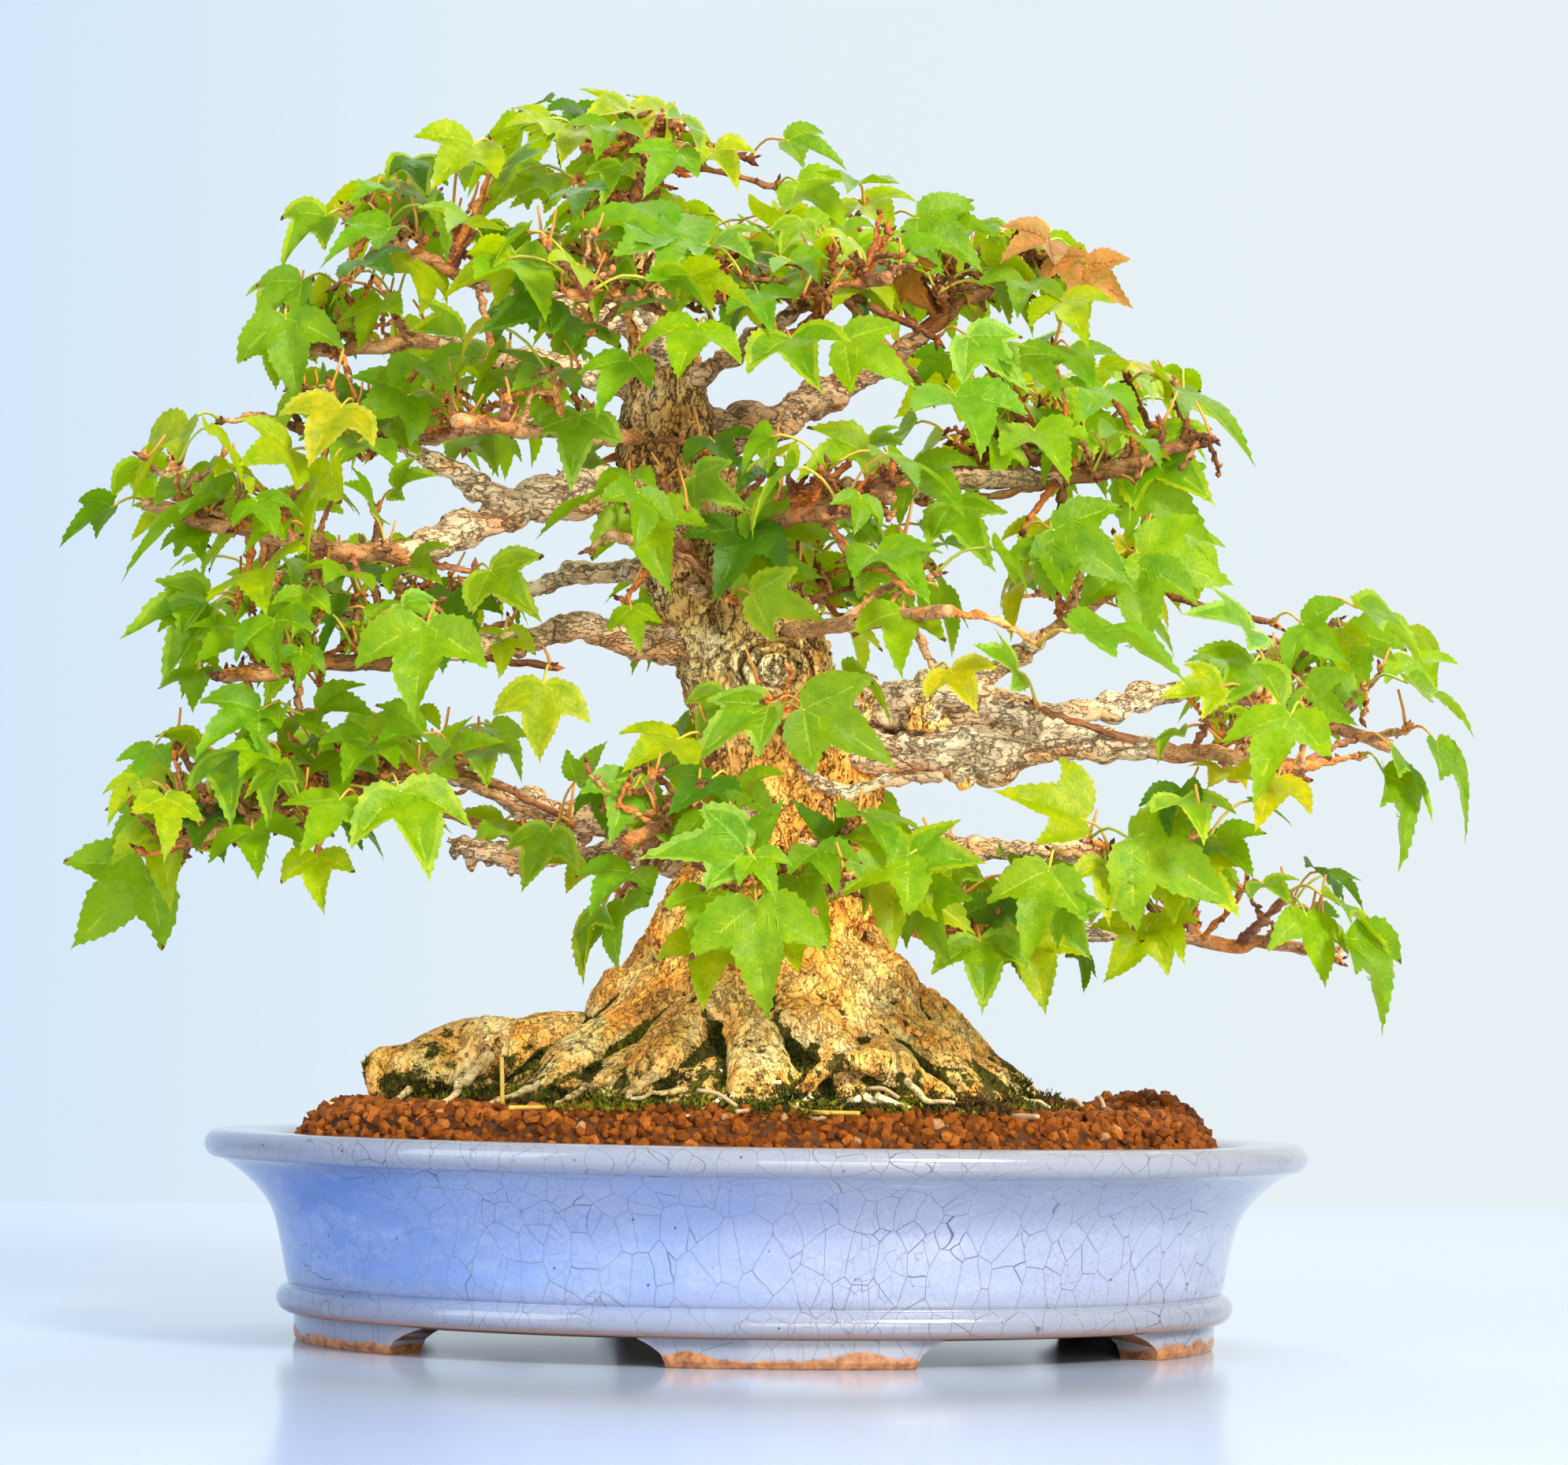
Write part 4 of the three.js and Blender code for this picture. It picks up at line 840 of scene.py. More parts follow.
# Burls on the boughs: bough, share of the way along it, radius
BURLS = [
    ("high_left", 0.42, 9.2), ("high_left", 0.52, 8.6), ("high_left", 0.64, 7.4), ("high_left", 0.8, 7.6),
    ("high_left", 0.9, 6.4), ("mid_left", 0.3, 7.4), ("low_left", 0.35, 5.8), ("low_left", 0.7, 5.0),
    ("mid_right", 0.2, 12.0), ("mid_right", 0.38, 9.0), ("mid_right", 0.55, 7.4), ("high_right", 0.32, 6.6),
    ("high_right", 0.6, 5.4), ("top_right", 0.16, 10.5), ("top_right", 0.3, 8.8), ("top_right", 0.6, 6.4),
    ("low_right", 0.45, 5.6), ("low_right_rear", 0.4, 5.4), ("crown_left", 0.45, 5.4), ("mid_right_rear", 0.3, 6.4),
    ("mid_left_rear", 0.4, 5.4), ("low_left_rear", 0.5, 5.2)]

# Strands that run together into the heavy bough on the right: offsets in depth and height, radius
STRANDS = [((-8, 8), 5.6), ((-11, -9), 4.8), ((7, 9), 5.2), ((6, -10), 4.6), ((-15, 1), 3.2)]
HEAVY_SLIMMING = 0.58
# The strand above them that stands apart: pixels and depths
HIGH_STRAND = [
    (1105, 905, -18), (1170, 880, -30), (1250, 886, -34), (1330, 912, -38), (1400, 946, -44), (1450, 952, -48)]

# Ragged dead wood under the low bough on the left: pixels and depths of its spine, and of the jags that hang from it
DEAD_SPINE = [(742, 1052, -16), (700, 1076, -22), (650, 1082, -27), (600, 1078, -30), (566, 1062, -32)]
DEAD_JAGS = [
    (578, 1074, 1090), (600, 1086, 1108), (624, 1088, 1100), (650, 1090, 1112), (676, 1084, 1104), (700, 1080, 1096)]
JAG_DEPTH = -28

# A thin limb that crosses in front of the trunk, and a small looping root
CROSSING_LIMB = [(12, -26, 197), (16, -31, 188), (26, -34, 184), (40, -36, 187), (58, -36, 189)]
LOOP_ROOT = [(22, -64, 79), (17, -72, 82), (16, -75, 88), (21, -76, 93), (30, -73, 95), (40, -66, 94)]


def bough_path(name, count):
    start, crook, tip, _ = BOUGHS[name]
    return spline([start, crook, tip], count)


def bough_radius(name, along):
    thick, thin = BOUGHS[name][3]
    return thick + (thin - thick) * np.asarray(along) ** 0.6


def meander(path, sway, cell, seed):
    """Bends a path a little from side to side, least at its two ends."""
    shift = np.stack([lattice_noise(path / cell, seed + k) for k in range(3)], axis=1)
    ease = np.sin(np.linspace(0, math.pi, len(path)))[:, None] ** 0.5
    return path + shift * sway * ease


def knobbly(path, radius, sides, amount, cell, seed):
    """Radii with swellings along a limb."""
    angle = np.arange(sides) * 2 * math.pi / sides
    ring = np.stack([np.cos(angle), np.sin(angle), np.zeros(sides)], 1)
    at = (path[:, None, :] + ring[None] * radius[:, None, None]).reshape(-1, 3)
    return radius[:, None] * (1 + amount * lattice_noise(at / cell, seed).reshape(len(path), sides))


def add_limb(pile, path, radius, sides=14, amount=0.16, cell=6.0, seed=0):
    pile.add(*tube(path, knobbly(path, np.asarray(radius, float), sides, amount, cell, seed), sides))


def add_stubs(pile, stubs, seat, shares, sides, seed):
    """Stubs of cut branches, which begin a little inside the wood."""
    for place, way, radius, length in stubs:
        way = unit(way)
        path = np.array([place - way * seat + way * (length + seat) * t for t in np.linspace(0, 1, len(shares))])
        add_limb(pile, path, radius * np.array(shares), sides, 0.08, 4.0, seed)


def trunk_shapes():
    pile = Pile()
    path = spline(TRUNK[:, [1, 2, 0]], COLUMN_RINGS)
    share, start, over = BASE_SLIMMING
    slim = np.clip((start - path[:, 2]) / over, 0, 1)
    radius = np.interp(path[:, 2], TRUNK[:, 0], TRUNK[:, 3]) * (1 - share * slim * slim * (3 - 2 * slim))
    angle = np.arange(COLUMN_SIDES) * 2 * math.pi / COLUMN_SIDES
    flutes = 1 + 0.06 * np.cos(3 * angle + 0.6) + 0.04 * np.cos(5 * angle)
    table = knobbly(path, radius, COLUMN_SIDES, 0.055, 16.0, 3) * flutes
    pile.add(*tube(path, table, COLUMN_SIDES))
    for index, (heading, begin, reach, crest, thick, end, blunt) in enumerate(ROOTS):
        turn = math.radians(heading)
        out = way_of(turn)
        head = crest + end / 2 if blunt else crest + end + 5
        dive = crest - end / 2 if blunt else SOIL_TOP - 9
        line = np.array([out * begin, out * (begin + reach) / 2, out * reach])
        line[:, 2] = head, crest, dive
        course = meander(spline(line, ROOT_RINGS), 3.2, 17.0, 20 + index)
        along = np.linspace(0, 1, ROOT_RINGS)
        size = thick + (end - thick) * along
        if blunt:
            size = size * np.where(along > 0.97, 0.72, 1)
        add_limb(pile, course, size, 30, 0.13, 9.0, 60 + index)
        side = np.array([-out[1], out[0], 0])
        for offset, scale, sway in () if blunt else ((0.8, 0.42, 9), (-0.85, 0.36, 10)):
            ends = [out * reach * 0.52 + side * offset * 9, out * reach * 0.8 + side * offset * (9 + sway * 0.6),
                    out * (reach * 1.02) + side * offset * (11 + sway)]
            for point, height in zip(ends, (crest - 1, crest - 10, SOIL_TOP - 5)):
                point[2] = height
            branch = meander(spline(ends, BRANCH_RINGS), 2.0, 11.0, 90 + index)
            add_limb(pile, branch, np.linspace(thick * scale, 3.4, BRANCH_RINGS), 16, 0.15, 6.0, 120 + index)
    for index, root in enumerate(ROOTS):
        following = ROOTS[(index + 1) % len(ROOTS)]
        gap = (following[0] - root[0]) % 360
        for share in (0.5,) if gap < WIDE_GAP else (0.33, 0.67):
            turn = math.radians(root[0] + gap * share)
            out = way_of(turn)
            reach = WEB_REACH * min(WEB_LIMIT, (root[2] + following[2]) / 2)
            crest = (root[3] + following[3]) / 2 - WEB_DROP
            line = np.array([out * WEB_START, out * (WEB_START + reach) / 2, out * reach])
            line[:, 2] = crest + 14, crest, SOIL_TOP - 3
            course = meander(spline(line, WEB_RINGS), 3.0, 15.0, 160 + index)
            add_limb(pile, course, np.linspace(18, 10.5, WEB_RINGS), 24, 0.14, 9.0, 180 + index)
    rise = np.linspace(SKIRT[0][0], SKIRT[-1][0], SKIRT_RINGS)
    skirt = np.stack([np.full(SKIRT_RINGS, 0.5), np.zeros(SKIRT_RINGS), rise], 1)
    spread = np.interp(skirt[:, 2], *zip(*SKIRT))
    shell, faces = tube(skirt, knobbly(skirt, spread, SKIRT_SIDES, 0.05, 17.0, 5), SKIRT_SIDES)
    pile.add(shell * (1, SKIRT_DEPTH, 1), faces)
    for place, size in KNOBS:
        pile.add(*ball(place, size, 18, 12))
    add_stubs(pile, STUBS[:6], 6, (1.5, 1.35, 1.15, 1, 0.95, 0.98, 1.02, 0.96), 14, 7)
    loop = spline(LOOP_ROOT, 26)
    add_limb(pile, loop, np.interp(np.linspace(0, 1, 26), (0, 0.3, 0.7, 1), (2.0, 2.7, 3.2, 5.0)), 14, 0.12, 5.0, 9)
    return pile


def bough_shapes():
    pile = Pile()
    for index, (name, (_, _, _, thick)) in enumerate(BOUGHS.items()):
        along = np.linspace(0, 1, BOUGH_RINGS)
        path = meander(bough_path(name, BOUGH_RINGS), min(3.0, thick[0] * 0.4), 16.0, 200 + index)
        slim = 1 - (HEAVY_SLIMMING * (1 - along) if name == "mid_right" else 0)
        add_limb(pile, path, bough_radius(name, along) * slim, 16, 0.2, 5.5, 240 + index)
        swell = np.random.default_rng(300 + index)
        for _ in range(SWELLINGS):
            at = int(swell.uniform(0.15, 0.97) * (BOUGH_RINGS - 1))
            size = bough_radius(name, along[at]) * swell.uniform(1.12, 1.4)
            pile.add(*ball(path[at] + swell.uniform(-0.6, 0.6, 3), size * swell.uniform(0.85, 1.2, 3), 12, 8))
    for name, share, radius in BURLS:
        path = bough_path(name, 50)
        pile.add(*ball(path[int(share * (len(path) - 1))], (radius * 1.15, radius, radius * 0.95), 16, 10))
    main = bough_path("mid_right", 40)
    for index, ((depth, height), radius) in enumerate(STRANDS):
        ease = np.linspace(1, 0.15, 40)[:, None]
        path = meander(main + np.array([0, depth, height]) * ease, 3.0, 13.0, 400 + index)
        add_limb(pile, path[:24], np.linspace(radius, radius * 0.45, 24), 16, 0.2, 6.0, 420 + index)
    add_stubs(pile, STUBS, 5, (1.4, 1.2, 1, 0.95, 0.96, 1.02, 0.97), 12, 450)
    high = meander(spline([photo_spot(*spot) for spot in HIGH_STRAND], BOUGH_RINGS), 2.2, 9.0, 440)
    add_limb(pile, high, np.linspace(6.0, 3.2, BOUGH_RINGS), 16, 0.24, 5.0, 441)
    spine = meander(spline([photo_spot(*spot) for spot in DEAD_SPINE], 40), 1.5, 7.0, 470)
    add_limb(pile, spine, np.interp(np.linspace(0, 1, 40), (0, 0.3, 0.7, 1), (5, 5.4, 4.6, 1.6)), 16, 0.5, 3.6, 471)
    for row, (u, top, low) in enumerate(DEAD_JAGS):
        bends = ((u, top), (u - 3, (top + low) / 2), (u - 1, low))
        ends = [photo_spot(*bend, JAG_DEPTH) for bend in bends]
        add_limb(pile, spline(ends, 8), np.linspace(2.6, 0.9, 8), 8, 0.4, 2.5, 472 + row)
    crossing = meander(spline(CROSSING_LIMB, 30), 0.8, 7.0, 460)
    add_limb(pile, crossing, np.linspace(2.6, 1.8, 30), 12, 0.15, 4.0, 461)
    return pile


def smooth_step(value, low, high):
    t = np.clip((value - low) / (high - low), 0, 1)
    return t * t * (3 - 2 * t)


SCAR, SCAR_SIZE, SCAR_RING = (3.1, -28.0, 224.4), 16.0, 4.3


def scar_rings(points):
    """The concentric scar on the front of the trunk: how near each point is and where it lies in the rings."""
    away = np.linalg.norm((points - SCAR) / (1.15, 1.6, 0.9), axis=1)
    near = 1 - smooth_step(away, SCAR_SIZE * 0.75, SCAR_SIZE * 1.25)
    return near, away, np.cos(away * 2 * math.pi / SCAR_RING + 1.3 * lattice_noise(points / 4, 515))


def bark_relief(points, trunk):
    """How far the bark stands out at each point: plates with ragged edges, cracks and fine grain."""
    stretch = np.array([1, 1, 0.5]) if trunk else np.array([1, 1, 1])
    warp = np.stack([lattice_noise(points / 9, 500 + k) for k in range(3)], axis=1) * 3
    p = (points + warp) * stretch
    lump = lattice_noise(points / 14, 510)
    plates = smooth_step(lattice_noise(p / 4.6, 511), 0.02, 0.16)
    flakes = smooth_step(lattice_noise(p / 2.4, 512), 0.1, 0.3)
    cracks = smooth_step(1 - np.abs(lattice_noise(p / 6.5, 513)), 0.86, 0.99)
    grain = lattice_noise(points / 1.5, 514)
    if not trunk:
        knobs = lattice_noise(points / 5, 516)
        return 0.3 * lump + 0.75 * knobs + 0.4 * plates + 0.3 * flakes - 0.6 * cracks + 0.22 * grain
    rough = smooth_step(points[:, 2], 92, 150)
    relief = 0.7 * lump + (0.12 + 0.9 * rough) * plates + (0.16 + 0.6 * rough) * flakes
    relief += -(0.2 + 1.3 * rough) * cracks + (0.14 + 0.26 * rough) * grain
    near, away, wave = scar_rings(points)
    return relief * (1 - near) + (0.9 * wave + 1.6 * (1 - away / SCAR_SIZE)) * near


def hollows(points, faces, facing, rounds):
    """How deep each point of a skin lies below the skin smoothed out, in millimetres."""
    edges = np.vstack([faces[:, [0, 1]], faces[:, [1, 2]], faces[:, [2, 0]]])
    count = np.maximum(np.bincount(edges[:, 0], minlength=len(points)), 1)
    calm = points.copy()
    for _ in range(rounds):
        calm = np.stack([np.bincount(edges[:, 0], calm[edges[:, 1], k], len(points)) / count for k in range(3)], 1)
    return ((calm - points) * facing).sum(axis=1)


trunk_skin = []


def make_bark():
    trunk_bark = bark_material(
        "bark_trunk", (255, 240, 184), (250, 208, 128), (212, 158, 88), (250, 172, 76), True, 1.0)
    bough_bark = bark_material(
        "bark_bough", (250, 224, 184), (232, 194, 150), (196, 154, 114), (240, 172, 108), False, 1.0)
    for name, shapes, voxel, material, is_trunk in (
            ("trunk_bark", trunk_shapes(), BARK_VOXEL, trunk_bark, True),
            ("bough_bark", bough_shapes(), BOUGH_VOXEL, bough_bark, False)):
        points, faces, facing = fused(name, shapes, voxel, 9 if is_trunk else 1)
        deep = hollows(points, faces, facing, 60)
        # How far into a hollow each point lies, from 0 to 1: the trunk is pushed in there, moss grows there, and the
        # bark's material darkens it as painted shade
        sunk = smooth_step(deep, 0.6, 2.6)
        if is_trunk:
            trunk_skin.extend([points, facing, sunk])
            near, _, wave = scar_rings(points)
            points = points - facing * (sunk * 0.7)[:, None]
            # The scar's ring grooves count as hollows too, so the material paints shade in them
            sunk = np.maximum(sunk, near * smooth_step(-wave, 0.1, 0.9))
        points = points + facing * bark_relief(points, is_trunk)[:, None]
        piece = mesh_piece(name, turn_points(points) * MM + POT_CENTRE, faces, [material])
        piece.data.attributes.new("sunk", "FLOAT", "POINT").data.foreach_set("value", sunk.astype(np.float32))
        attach(piece, "root")
        if is_trunk:
            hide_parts("trunk")
        else:
            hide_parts(*[f"bough_{bough}" for bough in BOUGHS])


make_bark()


# ---- Moss, surface roots and fallen stalks on the soil, in the tree's frame ----
# Pixels of the root's upper end, its bend and its far end in the photo, depth at each end, radius
SURFACE_ROOTS = [
    ((842, 1352), (812, 1372), (796, 1392), -62, -88, 2.3), ((760, 1380), (728, 1384), (704, 1402), -60, -86, 1.3),
    ((720, 1392), (744, 1378), (772, 1376), -84, -66, 1.1), ((888, 1388), (852, 1384), (800, 1392), -66, -92, 1.2),
    ((906, 1352), (934, 1372), (990, 1372), -62, -80, 1.4), ((950, 1384), (900, 1400), (870, 1440), -74, -104, 1.1),
    ((1030, 1386), (1010, 1410), (1046, 1440), -74, -104, 1.3),
    ((1090, 1392), (1060, 1400), (1020, 1386), -80, -70, 1.2), ((620, 1340), (590, 1372), (560, 1400), -24, -60, 2.2),
    ((520, 1380), (500, 1396), (470, 1404), -30, -40, 1.4), ((690, 1370), (640, 1392), (620, 1402), -52, -76, 1.5),
    ((1150, 1370), (1170, 1392), (1210, 1398), -70, -84, 1.3),
    ((1290, 1390), (1306, 1396), (1330, 1404), -20, -40, 1.4), ((410, 1404), (440, 1396), (470, 1392), -20, -24, 1.0)]
# Pixels of both ends, depths, whether it is yellow
FALLEN_STALKS = [
    ((645, 1452), (690, 1418), -112, -96, 1), ((884, 1382), (934, 1402), -96, -100, 0),
    ((934, 1440), (950, 1404), -110, -98, 0), ((1284, 1426), (1316, 1452), -100, -112, 0),
    ((636, 1340), (637, 1406), -74, -76, 1), ((1050, 1424), (1090, 1436), -106, -108, 1),
    ((1004, 1402), (1050, 1436), -96, -108, 1), ((1390, 1392), (1400, 1404), -30, -40, 0),
    ((1100, 1380), (1140, 1392), -84, -88, 0), ((1160, 1352), (1176, 1372), -70, -74, 1),
    ((1350, 1398), (1372, 1402), -30, -40, 0)]
MOSS_TUFTS, GROUND_TUFTS, FINE_ROOTS = 28000, 46000, 26
MOSS_TONES = {
    "dark": ((40, 42, 8), (66, 68, 14)), "olive": ((74, 76, 14), (102, 100, 22)),
    "bright": ((112, 120, 14), (148, 150, 30)), "brown": ((66, 46, 20), (104, 76, 34))}


def make_ground_cover():
    rng = np.random.default_rng(77)
    skin, facing, sunk = trunk_skin
    above = skin[:, 2] - SOIL_TOP
    wet = 0.6 * lattice_noise(skin / 13, 81) + 0.35 * lattice_noise(skin / 4, 82) + 1.2 * sunk
    wet = wet - np.clip(above, 0, 60) / 20 + 0.42
    chance = smooth_step(wet, 0.0, 0.5) * (above > -2)
    moss = Pile()
    chosen = rng.choice(len(skin), MOSS_TUFTS, p=chance / chance.sum())
    hue = lattice_noise(skin[chosen] / 9, 83)
    # A ragged band of it spreads from the foot of the roots over the soil
    edge = np.flatnonzero((np.abs(above) < 4) & (np.abs(facing[:, 2]) < 0.6) & (skin[:, 0] > -116))
    banded = rng.choice(edge, GROUND_TUFTS)
    lush = smooth_step(lattice_noise(skin[banded] / 15, 84), -0.3, 0.45)
    width = 5 + 20 * lush
    rise = np.concatenate([np.zeros(MOSS_TUFTS), 2.5 + 8.5 * lush * rng.uniform(0.5, 1, GROUND_TUFTS)])
    chosen = np.concatenate([chosen, banded])
    spread = np.concatenate([np.zeros(MOSS_TUFTS), rng.uniform(0.1, 1, GROUND_TUFTS) ** 0.8 * width])
    hue = np.concatenate([hue, 1.5 * lattice_noise(skin[banded] / 7, 85) + 0.02])
    for index, away, tone, mound in zip(chosen, spread, hue, rise):
        out = unit(facing[index] * (1, 1, 0.3 if away == 0 else 0))
        height = above[index]
        foot = skin[index] + out * away - facing[index] * 0.3
        if away > 0:
            foot[2] = SOIL_TOP + 0.3 + rng.uniform(0, 1) ** 0.6 * mound * max(0.12, 1 - away / 20)
        way = unit(out * 0.5 + np.array([0, 0, 0.8]) + rng.uniform(-0.8, 0.8, 3))
        side = unit(np.cross(way, rng.uniform(-1, 1, 3))) * rng.uniform(0.35, 0.85)
        reach = rng.uniform(1.0, 2.8)
        shade = int(np.clip(1 + tone * 2.2 + rng.uniform(-0.9, 0.9), 0, 2.9))
        if away > 0 and tone < -0.3:
            shade = 3
        moss.add(turn_points([foot - side, foot + side, foot + way * reach]), [(0, 1, 2)], shade)
    cover = moss.build("soil_moss", [
        mottled_material(f"moss_{name}", *tones, 300, 0.95) for name, tones in MOSS_TONES.items()], smooth=False)
    roots = Pile()
    for row, (start, bend, end, near, far, radius) in enumerate(SURFACE_ROOTS):
        path = spline([photo_spot(*start, near), photo_spot(*bend, (near + far) / 2), photo_spot(*end, far)], 22)
        path[:, 2] = np.maximum(path[:, 2], SOIL_TOP - 0.5)
        path = meander(path, 1.6, 5.0, 700 + row)
        points, faces = tube(path, knobbly(path, np.linspace(radius, radius * 0.45, 22), 8, 0.25, 3.0, 720 + row), 8)
        roots.add(turn_points(points), faces)
    for _ in range(FINE_ROOTS):
        heading = rng.uniform(0, 2 * math.pi)
        start = rng.uniform(66, 84)
        ends = [way_of(heading) * start + (0, 0, SOIL_TOP + 6)]
        for step in (9, 20):
            heading += rng.uniform(-0.16, 0.16)
            ends.append(way_of(heading) * (start + step) + (0, 0, SOIL_TOP + 1.5 - step / 9))
        path = meander(spline(ends, 16), 1.2, 4.0, int(start * 10))
        points, faces = tube(path, np.linspace(1.5, 0.5, 16), 7)
        roots.add(turn_points(points), faces)
    fine = roots.build("surface_roots", [bark_material(
        "bark_root", (250, 232, 190), (226, 196, 136), (176, 136, 84), (206, 170, 90), False, 0.5)])
    stalks = Pile()
    for start, end, near, far, yellow in FALLEN_STALKS:
        first, last = photo_spot(*start, near), photo_spot(*end, far)
        path = spline([first, (first + last) / 2 + (0, 0, 1.5), last], 7)
        path[:, 2] = np.maximum(path[:, 2], SOIL_TOP + 1.2)
        points, faces = tube(path, np.full(7, 0.75), 5)
        stalks.add(turn_points(points), faces, yellow)
    fallen = stalks.build("fallen_stalks", [
        mottled_material("stalk_tan", (196, 160, 120), (216, 184, 140), 150, 0.7),
        mottled_material("stalk_gold", (206, 170, 60), (220, 190, 90), 150, 0.6)])
    for piece, slot in ((cover, "foliage"), (fine, "bark"), (fallen, "foliage")):
        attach(piece, "root")


make_ground_cover()


# ---- Leaves ----
LEAF_HALF = [
    (0, 0), (-0.04, 0.09), (-0.035, 0.23), (0.04, 0.4), (0.19, 0.54), (0.44, 0.64), (0.405, 0.48), (0.385, 0.35),
    (0.39, 0.225), (0.49, 0.222), (0.6, 0.187), (0.73, 0.122), (0.87, 0.044), (1.0, 0)]
SIDE_TIP = (0.44, 0.64)
TOOTH, TOOTH_DEPTH = 0.1, 0.024
BLADE, MARGIN, VEIN, TIP = 0, 1, 2, 3
TIP_REACH = 0.045
LINE_POINTS = 60
MARGIN_WIDTH = 0.05


def leaf_template(seed, narrow):
    """A leaf's flat pattern, one unit long: points, triangles and what each triangle shows."""
    rng = np.random.default_rng(seed)
    outline, inner = [], []
    for mirror in (1, -1):
        keys = np.array(LEAF_HALF, float)
        keys[1:-1] += rng.uniform(-0.013, 0.013, (len(keys) - 2, 2))
        keys[:, 1] *= narrow
        half, ring = [keys[0]], []
        for run, last in ((keys[1:6], False), (keys[5:9], False), (keys[8:], True)):
            line = spline(np.hstack([run, np.zeros((len(run), 1))]), LINE_POINTS)[:, :2]
            length = np.linalg.norm(np.diff(line, axis=0), axis=1).sum()
            ahead = np.gradient(line, axis=0)
            outward = np.stack([-ahead[:, 1], ahead[:, 0]], 1)
            outward /= np.linalg.norm(outward, axis=1)[:, None]
            count = max(2, round(length / TOOTH))
            for k in range(count):
                half.append(line[int(k / count * (LINE_POINTS - 1))])
                if k < count - 1 or not last:
                    at = int((k + 0.7) / count * (LINE_POINTS - 1))
                    depth = TOOTH_DEPTH * rng.uniform(0.5, 1.3)
                    half.append(line[at] + outward[at] * depth)
            for t in np.linspace(0.12, 0.86, max(2, round(length / 0.16))):
                at = int(t * (LINE_POINTS - 1))
                ring.append(line[at] - outward[at] * MARGIN_WIDTH)
        half, ring = np.array(half), np.array(ring)
        if mirror < 0:
            half, ring = half[1:][::-1] * (1, -1), ring[::-1] * (1, -1)
        outline.append(half)
        inner.append(ring)
    outline = np.vstack([outline[0], [(1.0, 0.0)], outline[1]])
    inner = np.vstack([inner[0], [(0.92, 0.0)], inner[1], [(0.03, 0.0)]])
    tips = [np.array([1.0, 0]), *(np.array([SIDE_TIP[0], sign * SIDE_TIP[1] * narrow]) for sign in (1, -1))]
    veins = [np.array([0.02, 0]) + np.outer(np.linspace(0, 0.9, 6), tip - (0.02, 0)) for tip in tips]
    sides = []
    for vein in veins:
        side = unit((-(vein[-1] - vein[0])[1], (vein[-1] - vein[0])[0]))
        width = np.linspace(0.015, 0.007, 6)[:, None]
        sides += [vein[1:] + side * width[1:], vein[1:] - side * width[1:]]
    grid = np.stack(np.meshgrid(np.arange(0.08, 0.95, 0.13), np.arange(-0.585, 0.6, 0.13)), -1).reshape(-1, 2)
    grid = grid + rng.uniform(-0.025, 0.025, grid.shape)

    def clear(point):
        from_inner = np.linalg.norm(inner - point, axis=1).min() > 0.055
        return from_inner and all(np.linalg.norm(vein - point, axis=1).min() > 0.05 for vein in veins)

    grid = np.array([point for point in grid if within(point, inner) and clear(point)])
    points = np.vstack([outline, inner] + sides + [grid])
    first = len(outline)
    edges = [(i, (i + 1) % first) for i in range(first)]
    edges += [(first + i, first + (i + 1) % len(inner)) for i in range(len(inner))]
    flat, _, faces, *_ = delaunay_2d_cdt([Vector(p) for p in points], edges, [], 1, 1e-5)
    flat = np.array([tuple(p) for p in flat])
    kept, shows = [], []
    for face in faces:
        centre = flat[list(face)].mean(axis=0)
        if not within(centre, outline):
            continue
        show = BLADE if within(centre, inner) else MARGIN
        for vein in veins:
            way = unit(vein[-1] - vein[0])
            off = flat[list(face)] - vein[0]
            if np.abs(off[:, 0] * way[1] - off[:, 1] * way[0]).max() < 0.017 and (off @ way).max() < 0.95:
                show = VEIN
        if min(np.linalg.norm(centre - tip) for tip in tips) < TIP_REACH:
            show = TIP
        kept.append(face)
        shows.append(show)
    # Side veins are slivers laid just above the blade
    lifted = np.zeros(len(flat))
    slivers, extra = [], []
    for vein, tip in zip(veins, tips):
        way = unit(tip - vein[0])
        side = np.array([-way[1], way[0]])
        reach = np.linalg.norm(tip - vein[0])
        for t in np.arange(0.16, 0.8, 0.13):
            for sign in (1, -1):
                start = vein[0] + way * reach * (t + (0.03 if sign > 0 else 0))
                end = start + unit(way * 0.8 + side * sign) * 0.2 * (1 - 0.55 * t)
                if not within(end, inner):
                    end = start + (end - start) * 0.55
                if not within(end, inner):
                    continue
                base = len(flat) + len(extra)
                extra += [start - way * 0.008, start + way * 0.008, end]
                slivers.append((base, base + 1, base + 2) if sign > 0 else (base + 1, base, base + 2))
    flat = np.vstack([flat, extra])
    lifted = np.concatenate([lifted, np.full(len(extra), 0.005)])
    faces = np.array(kept + slivers)
    corner = flat[faces]
    first_side, second_side = corner[:, 1] - corner[:, 0], corner[:, 2] - corner[:, 0]
    turned = first_side[:, 0] * second_side[:, 1] - first_side[:, 1] * second_side[:, 0] < 0
    faces[turned] = faces[turned][:, ::-1]
    # How far each point lies from the nearest of the three main veins
    creases = []
    for vein, tip in zip(veins, tips):
        way = tip - vein[0]
        t = np.clip((flat - vein[0]) @ way / (way @ way), 0, 1)
        creases.append(np.linalg.norm(flat - vein[0] - t[:, None] * way, axis=1))
    return flat, lifted, faces, np.array(shows + [VEIN] * len(slivers)), np.min(creases, axis=0)


TEMPLATES = [leaf_template(seed, narrow) for seed, narrow in ((1, 0.9), (2, 0.8), (3, 1.0), (4, 0.72))]


# ---- Foliage: stems, twigs, leaf stalks and leaves, by the source's rule ----
SPACE_PER_NODE = 7200
